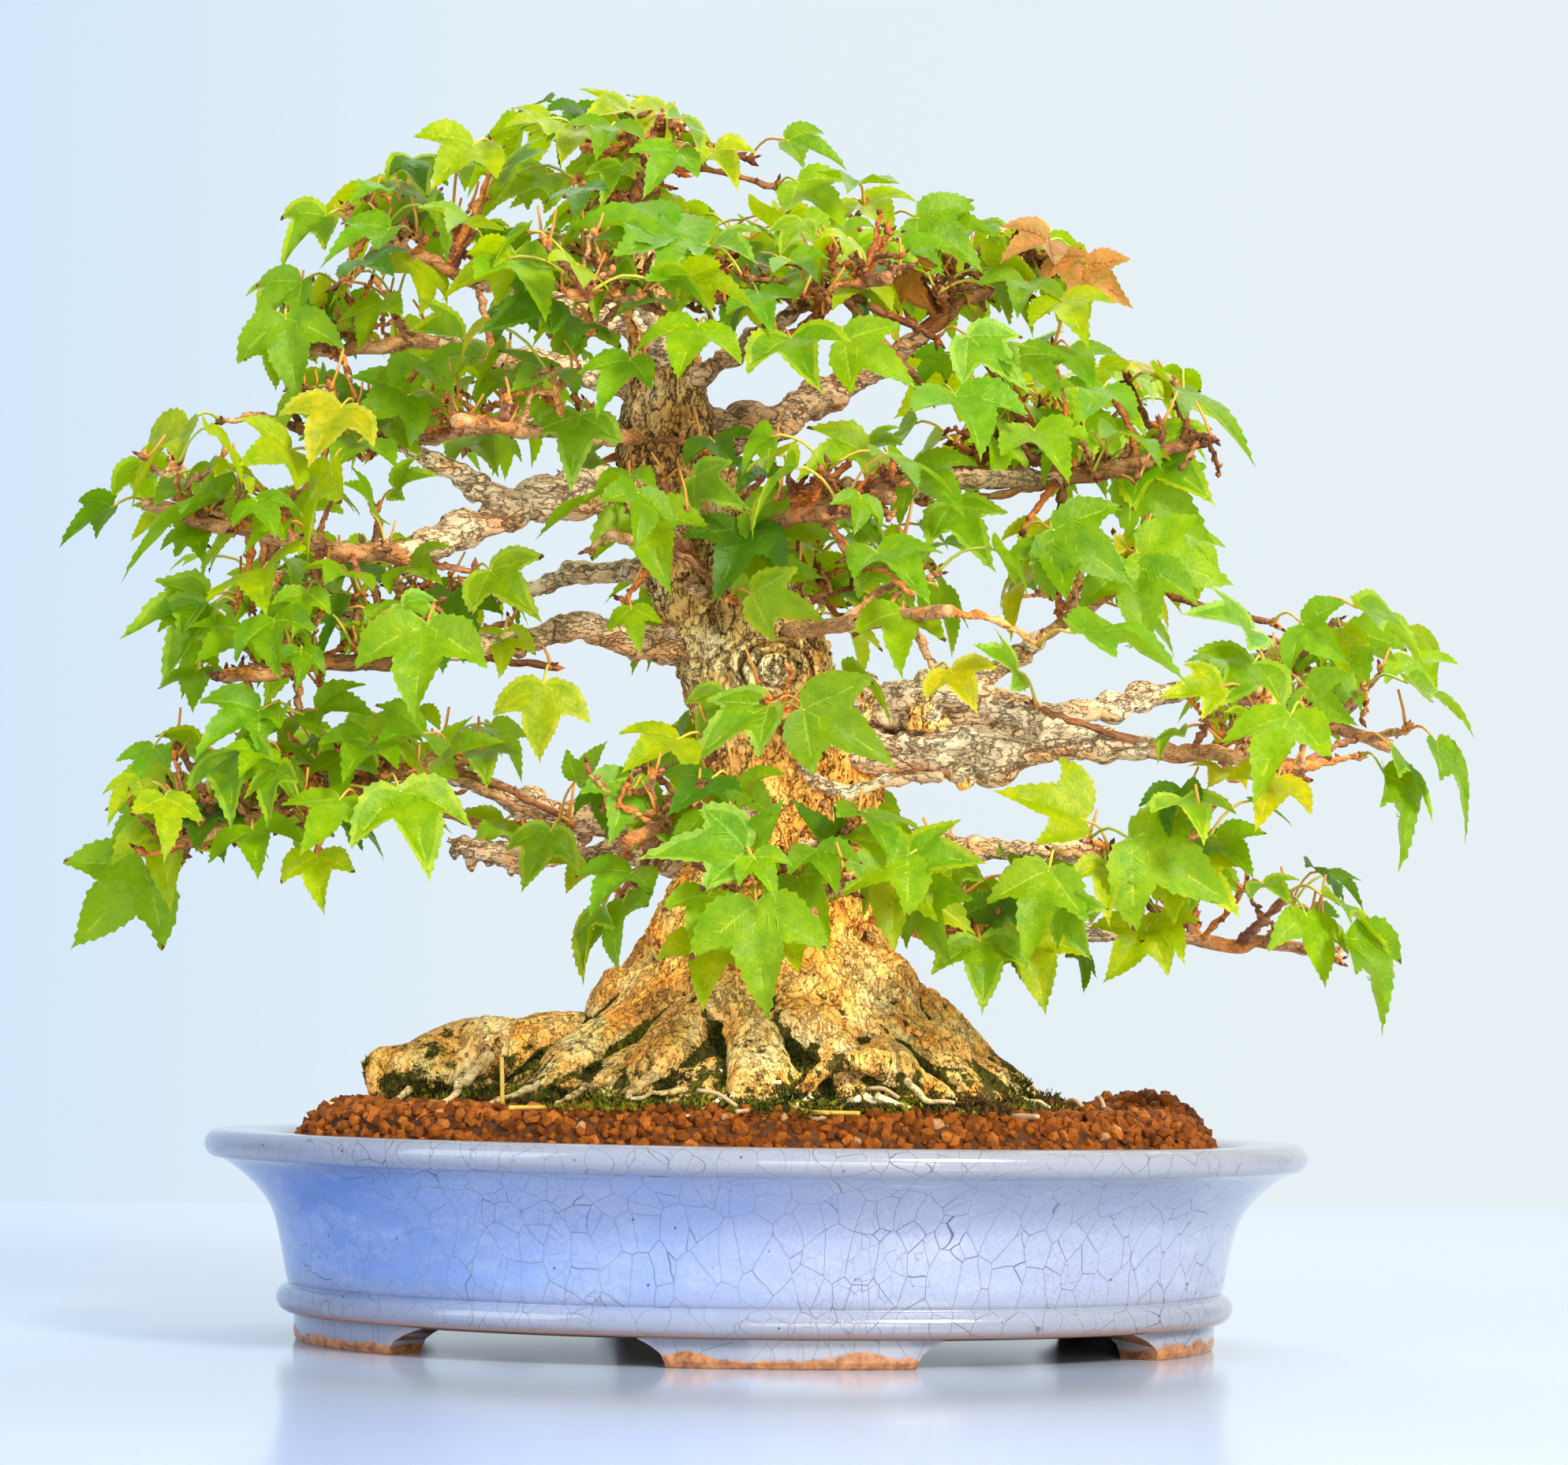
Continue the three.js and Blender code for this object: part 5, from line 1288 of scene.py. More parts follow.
# Shares of the usual number of leaves at the front, on the right, on the left and at the top, and where these begin
FRONT_THINNING, SPARSE_RIGHT, SPARSE_LEFT, DENSE_TOP = 0.5, 0.64, 0.85, 1.2
RIGHT_FROM, LEFT_FROM, TOP_FROM = 100, -140, 320
DOME = (0.45, 0.3, 0.8, 0.2)
LEAF_LENGTH, LEAF_SHARES = 28.5, (0.6, 1.15)
PLACED_SCALE = 0.78
# What a leaf of the photo keeps free round its middle, as a share of its length, and a pixel's width in mm
SHOWN_REACH, PIXEL = 0.42, 0.2677
PLACED_SEED, MASS_SEED = 7001, 1009
DROOP = (24, 68)
STALK_LENGTH = (14, 28)
# How many poses a leaf tries, and how much room it needs from the trunk and from other leaves
LEAF_TRIES, TRUNK_ROOM, LEAST_ROOM, AMPLE_ROOM = 7, 6, 5, 13

# The deep tint is partly darker leaves and partly painted shade, and the cool tint partly a painted bluish sheen
TINTS = {
    # blade, light coming through, veins and paler rim
    "fresh": ((138, 186, 8), (200, 222, 0), (178, 212, 60)),
    "mid": ((114, 164, 4), (180, 210, 0), (156, 196, 48)),
    "deep": ((72, 124, 8), (140, 182, 0), (112, 160, 44)),
    "cool": ((122, 180, 26), (174, 210, 4), (166, 210, 76)),
    "lime": ((166, 194, 0), (214, 224, 0), (198, 214, 50)),
    "yellow": ((194, 192, 8), (224, 216, 0), (212, 208, 60)),
    "autumn": ((200, 148, 76), (216, 150, 50), (160, 96, 44)),
    "dead": ((190, 128, 58), (200, 124, 44), (134, 84, 42)),
}
LIME_EDGE, BROWN_TIP = 2 * len(TINTS), 2 * len(TINTS) + 1
TINT_SHARES = {"fresh": 0.28, "mid": 0.3, "deep": 0.15, "cool": 0.06, "lime": 0.17, "yellow": 0.04}


def inside_space(point, middle, half):
    return (np.abs((point - middle) / half) ** SPACE_POWER).sum() <= SPACE_LIMIT


def leaf_shape(template, length, arch, cup, fold, wave, phase, twist, crease):
    """The flat pattern bent: arched along, drooping at the sides, folded at the midrib and a little wavy."""
    flat, lifted, _, _, from_vein = template
    x, y = flat[:, 0], flat[:, 1]
    across = np.abs(y)
    out = np.sin(arch * x) / arch
    down = -(1 - np.cos(arch * x)) / arch
    side = np.sin(cup * across) / cup * np.sign(y)
    down = down - (1 - np.cos(cup * across)) / cup + fold * across
    down = down + wave * (np.sin(9 * x + phase) * across * 2 + 0.6 * np.sin(12 * y + phase * 2) * x)
    turn = twist * (x - 0.3)
    up = down + lifted + crease * from_vein
    c, s = np.cos(turn), np.sin(turn)
    return np.stack([out, side * c - up * s, side * s + up * c], 1) * length


# Leaves that the photo shows clearly: the pixel of the leaf's foot and of its tip, its length and its depth
# behind the pot's middle in mm, how far up its face looks in degrees, its tint and how it leans
# A deep tint given here partly paints shade onto a leaf, and a cool tint partly paints a bluish sheen onto it
PLACED_LEAVES = [
    # low at the front
    (958, 1143, 967, 1293, 46, -135, 12, "fresh", 0), (900, 1133, 868, 1212, 32, -124, 25, "fresh", 10),
    (905, 1195, 885, 1280, 34, -116, 10, "lime", 0), (1010, 1110, 1052, 1200, 36, -118, 20, "fresh", 15),
    (1003, 1178, 1010, 1233, 26, -110, 10, "lime", 0), (950, 1078, 808, 1090, 42, -130, 40, "cool", -10),
    (955, 1080, 998, 1020, 30, -124, 30, "cool", 10), (955, 1086, 990, 1142, 23, -136, 30, "fresh", 0),
    (1153, 1083, 1046, 1142, 40, -116, 35, "fresh", 0), (1150, 1086, 1246, 1098, 36, -112, 35, "cool", 10),
    (1128, 1108, 1236, 1187, 40, -100, 25, "lime", 0), (1172, 1128, 1187, 1230, 34, -98, 60, "mid", 60),
    (1060, 1086, 1002, 1017, 32, -108, 35, "deep", 0), (803, 1106, 735, 1160, 36, -96, 30, "cool", 20),
    (792, 1140, 758, 1238, 36, -100, 30, "cool", 55), (765, 1150, 728, 1245, 34, -92, 30, "mid", 60),
    (800, 984, 776, 1072, 34, -98, 30, "cool", -15), (862, 936, 786, 976, 34, -88, 30, "lime", 10),
    (730, 990, 770, 940, 22, -70, 20, "mid", 20), (836, 1040, 872, 1095, 30, -96, 30, "mid", 0),
    (905, 985, 850, 1035, 34, -104, 35, "deep", 0), (930, 1000, 985, 1040, 30, -96, 30, "mid", 0),
    (700, 1050, 660, 1130, 30, -60, 20, "mid", 20), (745, 1100, 715, 1130, 26, -50, 20, "lime", 0),
    (640, 1040, 600, 1075, 24, -20, 20, "fresh", 0),
    # before the trunk
    (978, 893, 868, 972, 42, -80, 35, "cool", 15), (1015, 898, 1136, 976, 44, -86, 25, "mid", 10),
    (810, 650, 846, 752, 42, -62, 25, "fresh", 0), (950, 668, 907, 765, 40, -48, 25, "deep", 5),
    (878, 603, 942, 656, 30, -52, 40, "mid", 40), (946, 650, 1058, 694, 40, -46, 30, "mid", 10),
    (1098, 575, 1002, 600, 42, -62, 15, "fresh", 15), (1100, 565, 1147, 562, 22, -50, 30, "mid", 0),
    (1155, 600, 1232, 650, 36, -56, 25, "mid", 0), (1203, 640, 1258, 725, 40, -52, 25, "mid", 0),
    (1110, 700, 1186, 765, 40, -82, 35, "cool", -15), (1144, 775, 1134, 858, 40, -76, 30, "fresh", 0),
    (952, 752, 1040, 806, 31, -62, 50, "fresh", 58), (934, 716, 1040, 752, 33, -48, 55, "mid", 40),
    (736, 524, 722, 622, 38, -52, 25, "cool", 0), (603, 556, 640, 600, 38, -12, 10, "mid", 0),
    (738, 588, 775, 600, 26, -4, 10, "mid", 0), (620, 722, 682, 790, 38, -42, 25, "fresh", 10),
    (542, 790, 520, 915, 44, -92, 20, "fresh", 10), (690, 864, 681, 966, 30, -62, 0, "lime", 0),
    (800, 770, 812, 830, 24, -50, 20, "fresh", 0), (1195, 690, 1225, 700, 26, -50, 40, "cool", 0),
    (1205, 850, 1240, 905, 26, -84, 20, "yellow", 0), (1290, 850, 1235, 820, 34, -74, 25, "cool", 0),
    (905, 560, 930, 595, 26, -40, 20, "deep", 0), (960, 590, 935, 625, 24, -38, 30, "deep", 0),
    # crown, left and front
    (362, 400, 376, 510, 38, -40, 10, "mid", 0), (384, 356, 311, 426, 32, -30, 20, "mid", 20),
    (416, 272, 347, 337, 30, -10, 25, "mid", 20), (496, 290, 402, 336, 36, -40, 45, "cool", 10),
    (652, 320, 702, 405, 42, -92, 25, "fresh", -25), (850, 300, 702, 292, 40, -84, 55, "cool", 0),
    (896, 312, 742, 302, 42, -88, 50, "cool", 0), (902, 312, 962, 330, 34, -86, 40, "cool", 0),
    (886, 411, 856, 480, 38, -96, 40, "fresh", 0), (800, 455, 752, 528, 36, -82, 30, "cool", 10),
    (1002, 428, 1030, 500, 38, -92, 35, "mid", 5), (1068, 430, 1160, 496, 38, -80, 40, "fresh", 30),
    (1000, 330, 1040, 356, 28, -84, 45, "cool", 0), (960, 370, 978, 422, 26, -86, 20, "cool", 0),
    (602, 182, 545, 240, 36, -40, 20, "lime", 0), (697, 150, 636, 158, 26, -40, 25, "lime", 10),
    (730, 165, 712, 208, 28, -30, 20, "lime", 0), (800, 140, 742, 150, 34, -20, 30, "lime", 0),
    (775, 160, 755, 205, 30, -44, 30, "mid", 0), (850, 150, 795, 132, 30, 0, 30, "lime", 0),
    (860, 190, 815, 250, 32, -50, 35, "cool", 0), (905, 190, 940, 240, 30, -20, 30, "lime", 0),
    (640, 215, 700, 190, 28, -20, 40, "cool", 0), (530, 240, 495, 290, 32, -10, 20, "mid", 0),
    (600, 290, 560, 290, 40, -60, 30, "fresh", 0), (700, 380, 610, 425, 38, -80, 20, "deep", 0),
    (590, 430, 520, 420, 34, -30, 30, "mid", 0), (540, 460, 570, 505, 34, -50, 30, "mid", 0),
    (650, 470, 680, 535, 36, -44, 15, "mid", 0), (700, 470, 650, 500, 34, -56, 25, "mid", 0),
    (460, 330, 500, 350, 34, -44, 35, "deep", 0), (830, 380, 780, 400, 34, -70, 20, "mid", 0),
    (740, 410, 720, 440, 30, -72, 15, "deep", 0), (1095, 350, 1050, 390, 40, -60, 20, "lime", 0),
    # crown, right
    (995, 178, 1076, 212, 28, -10, 45, "mid", 0), (1090, 235, 1075, 245, 36, -40, 40, "mid", 0),
    (1010, 230, 1080, 290, 38, -30, 30, "fresh", 0), (1090, 255, 1135, 295, 34, -20, 30, "lime", 0),
    (1160, 275, 1245, 345, 38, -20, 40, "mid", 15), (1180, 290, 1265, 300, 32, -10, 40, "mid", 0),
    (1080, 320, 1180, 345, 38, -50, 45, "fresh", 0), (1130, 330, 1200, 350, 36, -44, 45, "cool", 0),
    (1330, 305, 1265, 330, 34, -10, 30, "autumn", 0), (1340, 325, 1368, 380, 26, -10, 30, "autumn", 20),
    (1375, 335, 1423, 402, 30, -6, 35, "autumn", 25), (1150, 345, 1176, 402, 24, -50, 20, "dead", 50),
    (1345, 380, 1380, 440, 38, -24, 15, "lime", 0), (1300, 360, 1285, 400, 34, -14, 20, "mid", 0),
    (1225, 425, 1300, 500, 36, -60, 40, "cool", 10), (1210, 500, 1260, 580, 42, -70, 25, "cool", -20),
    (1290, 450, 1352, 510, 34, -40, 25, "mid", 0), (1355, 440, 1385, 490, 32, -34, 25, "mid", 0),
    (1400, 490, 1370, 535, 34, -44, 30, "cool", 0), (1466, 478, 1600, 585, 42, -20, 45, "mid", -36),
    (1470, 470, 1430, 470, 26, -14, 40, "yellow", 0), (1310, 545, 1360, 610, 38, -60, 35, "fresh", -10),
    (1445, 575, 1545, 635, 42, -30, 20, "mid", 0), (1435, 590, 1530, 700, 44, -34, 15, "mid", 10),
    (1332, 670, 1430, 750, 42, -62, 35, "mid", 20), (1340, 690, 1350, 760, 40, -54, 15, "mid", 0),
    (1438, 716, 1450, 830, 42, -52, 15, "mid", 0), (1440, 700, 1558, 762, 42, -50, 40, "fresh", 20),
    (1590, 800, 1500, 780, 38, -60, 45, "cool", 0), (1358, 802, 1510, 854, 40, -84, 45, "cool", -30),
    (1548, 870, 1470, 886, 26, -80, 35, "lime", 0), (1262, 440, 1290, 470, 30, -50, 30, "mid", 0),
    # right
    (1637, 906, 1574, 1012, 46, -96, 20, "fresh", 25), (1620, 985, 1590, 1050, 36, -84, 15, "yellow", 0),
    (1655, 870, 1706, 935, 28, -70, 30, "mid", 40), (1716, 768, 1818, 842, 32, -40, 30, "mid", -46),
    (1780, 864, 1880, 925, 34, -30, 30, "mid", -50),
    (1820, 940, 1882, 1064, 34, -40, 35, "mid", -50), (1762, 945, 1830, 1033, 32, -44, 30, "mid", -54),
    (1752, 975, 1796, 1100, 34, -46, 30, "mid", -50), (1700, 800, 1700, 870, 26, -44, 20, "lime", 40),
    (1650, 790, 1700, 850, 30, -50, 30, "cool", 40), (1590, 840, 1545, 900, 36, -60, 15, "mid", 0),
    (1430, 1062, 1560, 1150, 44, -80, 20, "fresh", 0), (1500, 1100, 1575, 1160, 36, -66, 20, "lime", 0),
    (1375, 1040, 1262, 1000, 38, -70, 25, "lime", 10), (1330, 1100, 1293, 1226, 44, -90, 15, "fresh", 10),
    (1402, 1096, 1400, 1172, 32, -76, 20, "lime", 0), (1355, 1145, 1368, 1222, 26, -90, 50, "cool", 60),
    (1242, 1190, 1250, 1286, 34, -84, 15, "mid", 0), (1302, 1180, 1325, 1286, 36, -76, 15, "lime", 0),
    (1455, 1175, 1405, 1250, 30, -64, 30, "lime", 0), (1470, 1160, 1505, 1220, 28, -60, 20, "lime", 0),
    (1655, 1158, 1690, 1250, 34, -50, 25, "fresh", -30), (1704, 1185, 1768, 1305, 36, -50, 40, "mid", -38),
    (1676, 1134, 1766, 1204, 30, -44, 40, "mid", -46), (1600, 1120, 1640, 1150, 26, -40, 40, "mid", 0),
    (1540, 1060, 1590, 1110, 30, -60, 30, "mid", 0), (1550, 975, 1535, 1000, 22, -60, 30, "yellow", 0),
    # left
    (506, 1000, 558, 1112, 44, -86, 20, "fresh", -20), (432, 1012, 385, 1085, 40, -84, 15, "fresh", 0),
    (402, 1085, 406, 1160, 30, -76, 10, "lime", 0), (186, 1100, 100, 1212, 42, -40, 20, "mid", -10),
    (212, 1048, 212, 1154, 38, -48, 15, "lime", 0), (200, 1018, 132, 1090, 34, -44, 25, "mid", 10),
    (196, 945, 165, 1006, 26, -50, 30, "cool", 10), (266, 756, 152, 808, 38, -50, 35, "mid", 10),
    (268, 770, 204, 866, 36, -56, 35, "mid", 20), (240, 534, 150, 632, 38, -54, 15, "lime", 52),
    (434, 514, 388, 590, 36, -64, 20, "yellow", 0), (370, 570, 300, 590, 34, -66, 10, "lime", 0),
    (420, 586, 374, 712, 38, -80, 30, "lime", 55), (290, 630, 142, 726, 44, -60, 45, "cool", 55),
    (145, 640, 75, 694, 24, -54, 60, "deep", 60), (250, 610, 190, 640, 34, -50, 45, "mid", 0),
    (520, 500, 440, 540, 36, -50, 10, "mid", 0), (500, 530, 530, 580, 34, -40, 10, "mid", 0),
    (455, 560, 420, 600, 34, -60, 20, "mid", 0), (250, 670, 255, 710, 32, -44, 20, "mid", 0),
    (440, 730, 410, 740, 28, -70, 30, "fresh", 0), (335, 720, 320, 780, 40, -70, 30, "lime", 30),
    (390, 750, 373, 810, 26, -76, 20, "fresh", 0), (310, 800, 250, 840, 38, -66, 25, "mid", 0),
    (330, 900, 240, 960, 38, -74, 30, "cool", 0), (300, 950, 282, 1050, 38, -76, 30, "mid", 30),
    (330, 950, 302, 985, 24, -84, 25, "fresh", 0), (400, 900, 480, 905, 36, -64, 35, "mid", 0),
    (470, 940, 430, 990, 34, -74, 20, "mid", 0), (540, 930, 470, 940, 36, -64, 30, "mid", 0),
    (610, 950, 620, 1000, 32, -40, 20, "mid", 0), (560, 960, 640, 940, 34, -50, 30, "fresh", 0),
    (320, 1050, 330, 1110, 34, -70, 15, "mid", 0), (260, 1030, 250, 1080, 34, -54, 20, "deep", 0),
    (250, 850, 245, 900, 32, -50, 30, "mid", 0), (470, 650, 430, 610, 30, -70, 30, "mid", 0),
    (500, 620, 560, 600, 26, -60, 30, "mid", 0), (520, 720, 560, 740, 30, -50, 20, "mid", 0),
    (480, 810, 440, 830, 28, -50, 20, "lime", 0), (640, 800, 635, 860, 24, -40, 10, "lime", 0),
]

# Openings to the sky in the photo: pixel of the middle, half width and half height in pixels
SKY = [
    (400, 345, 34, 46), (455, 465, 44, 26), (336, 520, 24, 20), (700, 225, 20, 22), (1225, 340, 22, 30),
    (1140, 745, 22, 22), (1330, 1060, 70, 22), (1620, 1125, 60, 26), (540, 742, 28, 18), (610, 884, 60, 26),
    (1730, 930, 44, 40), (605, 520, 18, 18), (785, 905, 70, 68), (650, 850, 40, 14), (700, 1010, 45, 28),
    (1190, 1022, 58, 30), (590, 1190, 150, 60), (1228, 745, 26, 42), (1395, 680, 26, 36), (1460, 985, 44, 20),
    (1330, 1066, 50, 14), (480, 370, 34, 20), (770, 545, 24, 46), (560, 395, 20, 12), (470, 765, 28, 10),
    (1650, 960, 20, 20), (1640, 1080, 30, 44), (720, 650, 10, 10), (1110, 540, 40, 16), (450, 500, 14, 12),
    (1560, 1010, 16, 26), (1720, 1010, 34, 60), (1610, 1240, 90, 44), (1560, 1176, 70, 16), (1700, 1030, 56, 62),
    (1380, 1030, 60, 10), (1010, 1260, 200, 60), (760, 1190, 30, 40), (1190, 1260, 30, 30), (230, 770, 18, 8),
    (330, 480, 16, 30), (560, 560, 12, 10), (1540, 830, 8, 8), (1750, 880, 24, 26), (600, 1130, 110, 20)]

# The crown's outline in the photo, in pixels
CROWN_EDGE = np.array([
    (97, 1204), (97, 1116), (126, 1010), (155, 951), (190, 900), (151, 796), (165, 738), (78, 689), (146, 582),
    (233, 510), (300, 500), (290, 440), (308, 359), (349, 272), (446, 250), (534, 178), (641, 130), (670, 126),
    (776, 126), (854, 140), (912, 180), (990, 166), (1072, 178), (1116, 248), (1242, 284), (1320, 288), (1417, 340),
    (1430, 398), (1420, 440), (1495, 460), (1604, 573), (1556, 621), (1560, 738), (1689, 764), (1767, 752),
    (1864, 893), (1885, 1058), (1800, 1080), (1776, 1243), (1767, 1312), (1690, 1270), (1630, 1210), (1514, 1243),
    (1340, 1288), (1204, 1270), (1060, 1230), (955, 1295), (854, 1243), (738, 1240), (670, 1126), (563, 1116),
    (408, 1168), (230, 1165)], float)

# Where the trunk shows bare between the leaves: pixel of the middle, half width and half height
BARE_TRUNK = [
    (940, 800, 95, 62), (850, 500, 62, 70), (1020, 1000, 100, 50), (900, 1330, 460, 110), (1010, 520, 60, 40)]


def in_outline(spots):
    return all(within(photo_pixel(spot), CROWN_EDGE) for spot in spots)


def in_ovals(point, ovals):
    u, v = photo_pixel(point)
    return any(((u - cu) / ru) ** 2 + ((v - cv) / rv) ** 2 < 1 for cu, cv, ru, rv in ovals)


def before_trunk(spots):
    return any(spot[1] < 0 and in_ovals(spot, BARE_TRUNK) for spot in spots)


def leaf_frame(heading, face, roll, arch):
    """The frame at a leaf's foot so that, bent by its arch, it heads the given way and faces the given way."""
    face = unit(face - heading * (face @ heading))
    lift = arch * 0.45
    start = heading * math.cos(lift) + face * math.sin(lift)
    face = face * math.cos(lift) - heading * math.sin(lift)
    across = np.cross(face, start)
    c, s = math.cos(roll), math.sin(roll)
    return start, across * c + face * s, face * c - across * s


class Foliage:
    def __init__(self):
        self.leaves = [Pile(), Pile()]
        self.stalks, self.twigs, self.buds = Pile(), Pile(), Pile()
        self.samples = np.empty((0, 3))
        self.shown = []

    def room(self, spots):
        """The least distance from these spots to the leaves that are there already."""
        if not len(self.samples):
            return 99.0
        return np.linalg.norm(self.samples[None] - spots[:, None], axis=2).min()

    def hides(self, middle, depth):
        """True if a leaf here would stand before one of the leaves that the photo shows."""
        u, v = photo_pixel(middle)
        return any(depth < deep and (u - cu) ** 2 + (v - cv) ** 2 < reach ** 2 for cu, cv, reach, deep in self.shown)


def leaf_spots(foot, heading, across, length):
    return np.array([foot + heading * length * a + across * length * b for a, b in (
        (0.3, 0), (0.7, 0), (0.4, 0.4), (0.4, -0.4))])


def put_leaf(foliage, foot, length, arch, frame_at, tint, rng, spots):
    heading, across, face = frame_at
    template = TEMPLATES[int(rng() * len(TEMPLATES)) % len(TEMPLATES)]
    shape = leaf_shape(template, length, arch, 0.3 + 0.9 * rng(), 0.02 + 0.3 * rng(), 0.012 + 0.024 * rng(),
                       6 * rng(), (rng() - 0.5) * 0.9, 0.2 + 0.45 * rng())
    placed = foot + shape[:, :1] * heading + shape[:, 1:2] * across + shape[:, 2:] * face
    shows = template[3]
    paler = tint * 2 + 1
    edge = (tint * 2, tint * 2, tint * 2, paler, LIME_EDGE)[int(rng() * 4.3)]
    tip = BROWN_TIP if rng() < 0.3 else edge
    slots = np.choose(shows, [tint * 2, edge, paler, tip])
    foliage.leaves[0 if foot[0] < 0 else 1].add(turn_points(placed), template[2], slots)
    foliage.samples = np.vstack([foliage.samples, spots])


def put_stalk(foliage, start, foot, heading, kind):
    gap = np.linalg.norm(foot - start)
    bend = start + (foot - start) * 0.5 + np.array([0, 0, 0.16 * gap])
    path = spline([start, bend, foot, foot + heading * 1.5], 7)
    points, faces = tube(path, np.array([1.0, 0.62, 0.52, 0.5, 0.5, 0.52, 0.35]), 4)
    foliage.stalks.add(turn_points(points), faces, kind)


def put_cone(pile, foot, way, radius, reach, slot=0):
    """A short pointed spur or bud with four sides."""
    side = unit(np.cross(way, (0.3, 0.2, 1) if abs(way[2]) < 0.9 else (1, 0, 0)))
    other = np.cross(way, side)
    ring = np.array([side, other, -side, -other]) * radius
    points = np.vstack([foot + ring * 0.8, foot + way * reach * 0.45 + ring, foot + way * reach])
    faces = [(k, (k + 1) % 4, 4 + (k + 1) % 4) for k in range(4)] + [(k, 4 + (k + 1) % 4, 4 + k) for k in range(4)]
    faces += [(4 + k, 4 + (k + 1) % 4, 8) for k in range(4)] + [(0, 2, 1), (0, 3, 2)]
    pile.add(turn_points(points), faces, slot)


def put_twig(foliage, start, end, rng, thick=1.35, sway=5.0, buds=4):
    """A knobbly twig with a cluster of scaly spurs and buds at its end, and bud scars along it."""
    while not in_outline([end + (0, 0, 4)]) and np.linalg.norm(end - start) > 6:
        end = start + (end - start) * 0.85
    path = spline([start, start + (end - start) * 0.5 + stray(rng, 0.3) * sway, end], TWIG_RINGS)
    path = path + np.array([stray(rng) for _ in range(TWIG_RINGS)]) * 1.1
    size = np.linspace(thick, thick * 0.62, TWIG_RINGS)
    size = size * [1 + 0.7 * (rng() - 0.35) for _ in range(TWIG_RINGS)]
    points, faces = tube(path, size, 5)
    foliage.twigs.add(turn_points(points), faces, int(rng() * 3))
    course = unit(path[-1] - path[-3])
    for _ in range(buds):
        way = unit(course + stray(rng, 0.3) * 2.4)
        reach = 2.0 + 3.6 * rng()
        put_cone(foliage.twigs, end, way, 0.95 + 0.4 * rng(), reach, 1 + int(rng() * 2))
        if rng() < 0.5:
            put_cone(foliage.buds, end + way * reach * 0.7, way, 0.62, 2.4)
    for k in range(2, 12, 3):
        put_cone(foliage.twigs, path[k], unit(stray(rng, 0.4)), 0.9, 1.8 + 1.6 * rng(), 2)
    if rng() < 0.4:
        top = end + np.array([(rng() - 0.5) * 12, (rng() - 0.5) * 12, 7 + 9 * rng()])
        if in_outline([top]):
            points, faces = tube(np.array([end, (end + top) / 2 + 0.4, top]), np.array([0.7, 0.5, 0.45]), 4)
            foliage.stalks.add(turn_points(points), faces, 1)


def place_leaf(foliage, row, values, joints):
    """A leaf that the photo shows, its foot and tip on their pixels."""
    foot_u, foot_v, tip_u, tip_v, length, depth, upward, tint, lean = values
    draw = random_stream(PLACED_SEED + row)
    length *= PLACED_SCALE
    foot = photo_spot(foot_u, foot_v, depth)
    near, level = -length, 0.0
    if np.linalg.norm(photo_spot(tip_u, tip_v, depth) - foot) < length:
        for _ in range(20):
            trial = (near + level) / 2
            if np.linalg.norm(photo_spot(tip_u, tip_v, depth + trial) - foot) > length:
                near = trial
            else:
                level = trial
    tip = photo_spot(tip_u, tip_v, depth + level)
    length = np.linalg.norm(tip - foot)
    heading = unit(tip - foot)
    rise = math.radians(upward)
    face = np.array([0, -math.cos(rise), math.sin(rise)])
    arch = 0.25 + 0.5 * draw()
    start, across, face = leaf_frame(heading, face, math.radians(lean), arch)
    spots = leaf_spots(foot, heading, across, length)
    put_leaf(foliage, foot, length * 1.03, arch, (start, across, face), list(TINTS).index(tint), draw, spots)
    middle = foot + heading * length * 0.45
    foliage.shown.append((*photo_pixel(middle), SHOWN_REACH * length / PIXEL, depth + 6))
    back = unit(np.array([-heading[0], 0, -heading[2]]) * 0.45 + np.array([0, 0.62, -0.25]))
    node_place = foot + back * (14 + 10 * draw())
    put_stalk(foliage, node_place, foot, start, int(draw() * 3))
    closest = joints[np.argmin(np.linalg.norm(joints - node_place, axis=1))]
    put_twig(foliage, closest, node_place, draw, 1.5)


def beside_trunk(spots):
    height = np.clip(spots[:, 2], TRUNK[0, 0], TRUNK[-1, 0])
    centre = np.stack([np.interp(height, TRUNK[:, 0], TRUNK[:, k]) for k in (1, 2)], 1)
    radius = np.interp(height, TRUNK[:, 0], TRUNK[:, 3]) * np.where(height < 140, 0.9, 1)
    off = np.hypot(*(spots[:, :2] - centre).T) - radius
    return off[spots[:, 2] < TRUNK[-1, 0] - 20].min(initial=99.0)


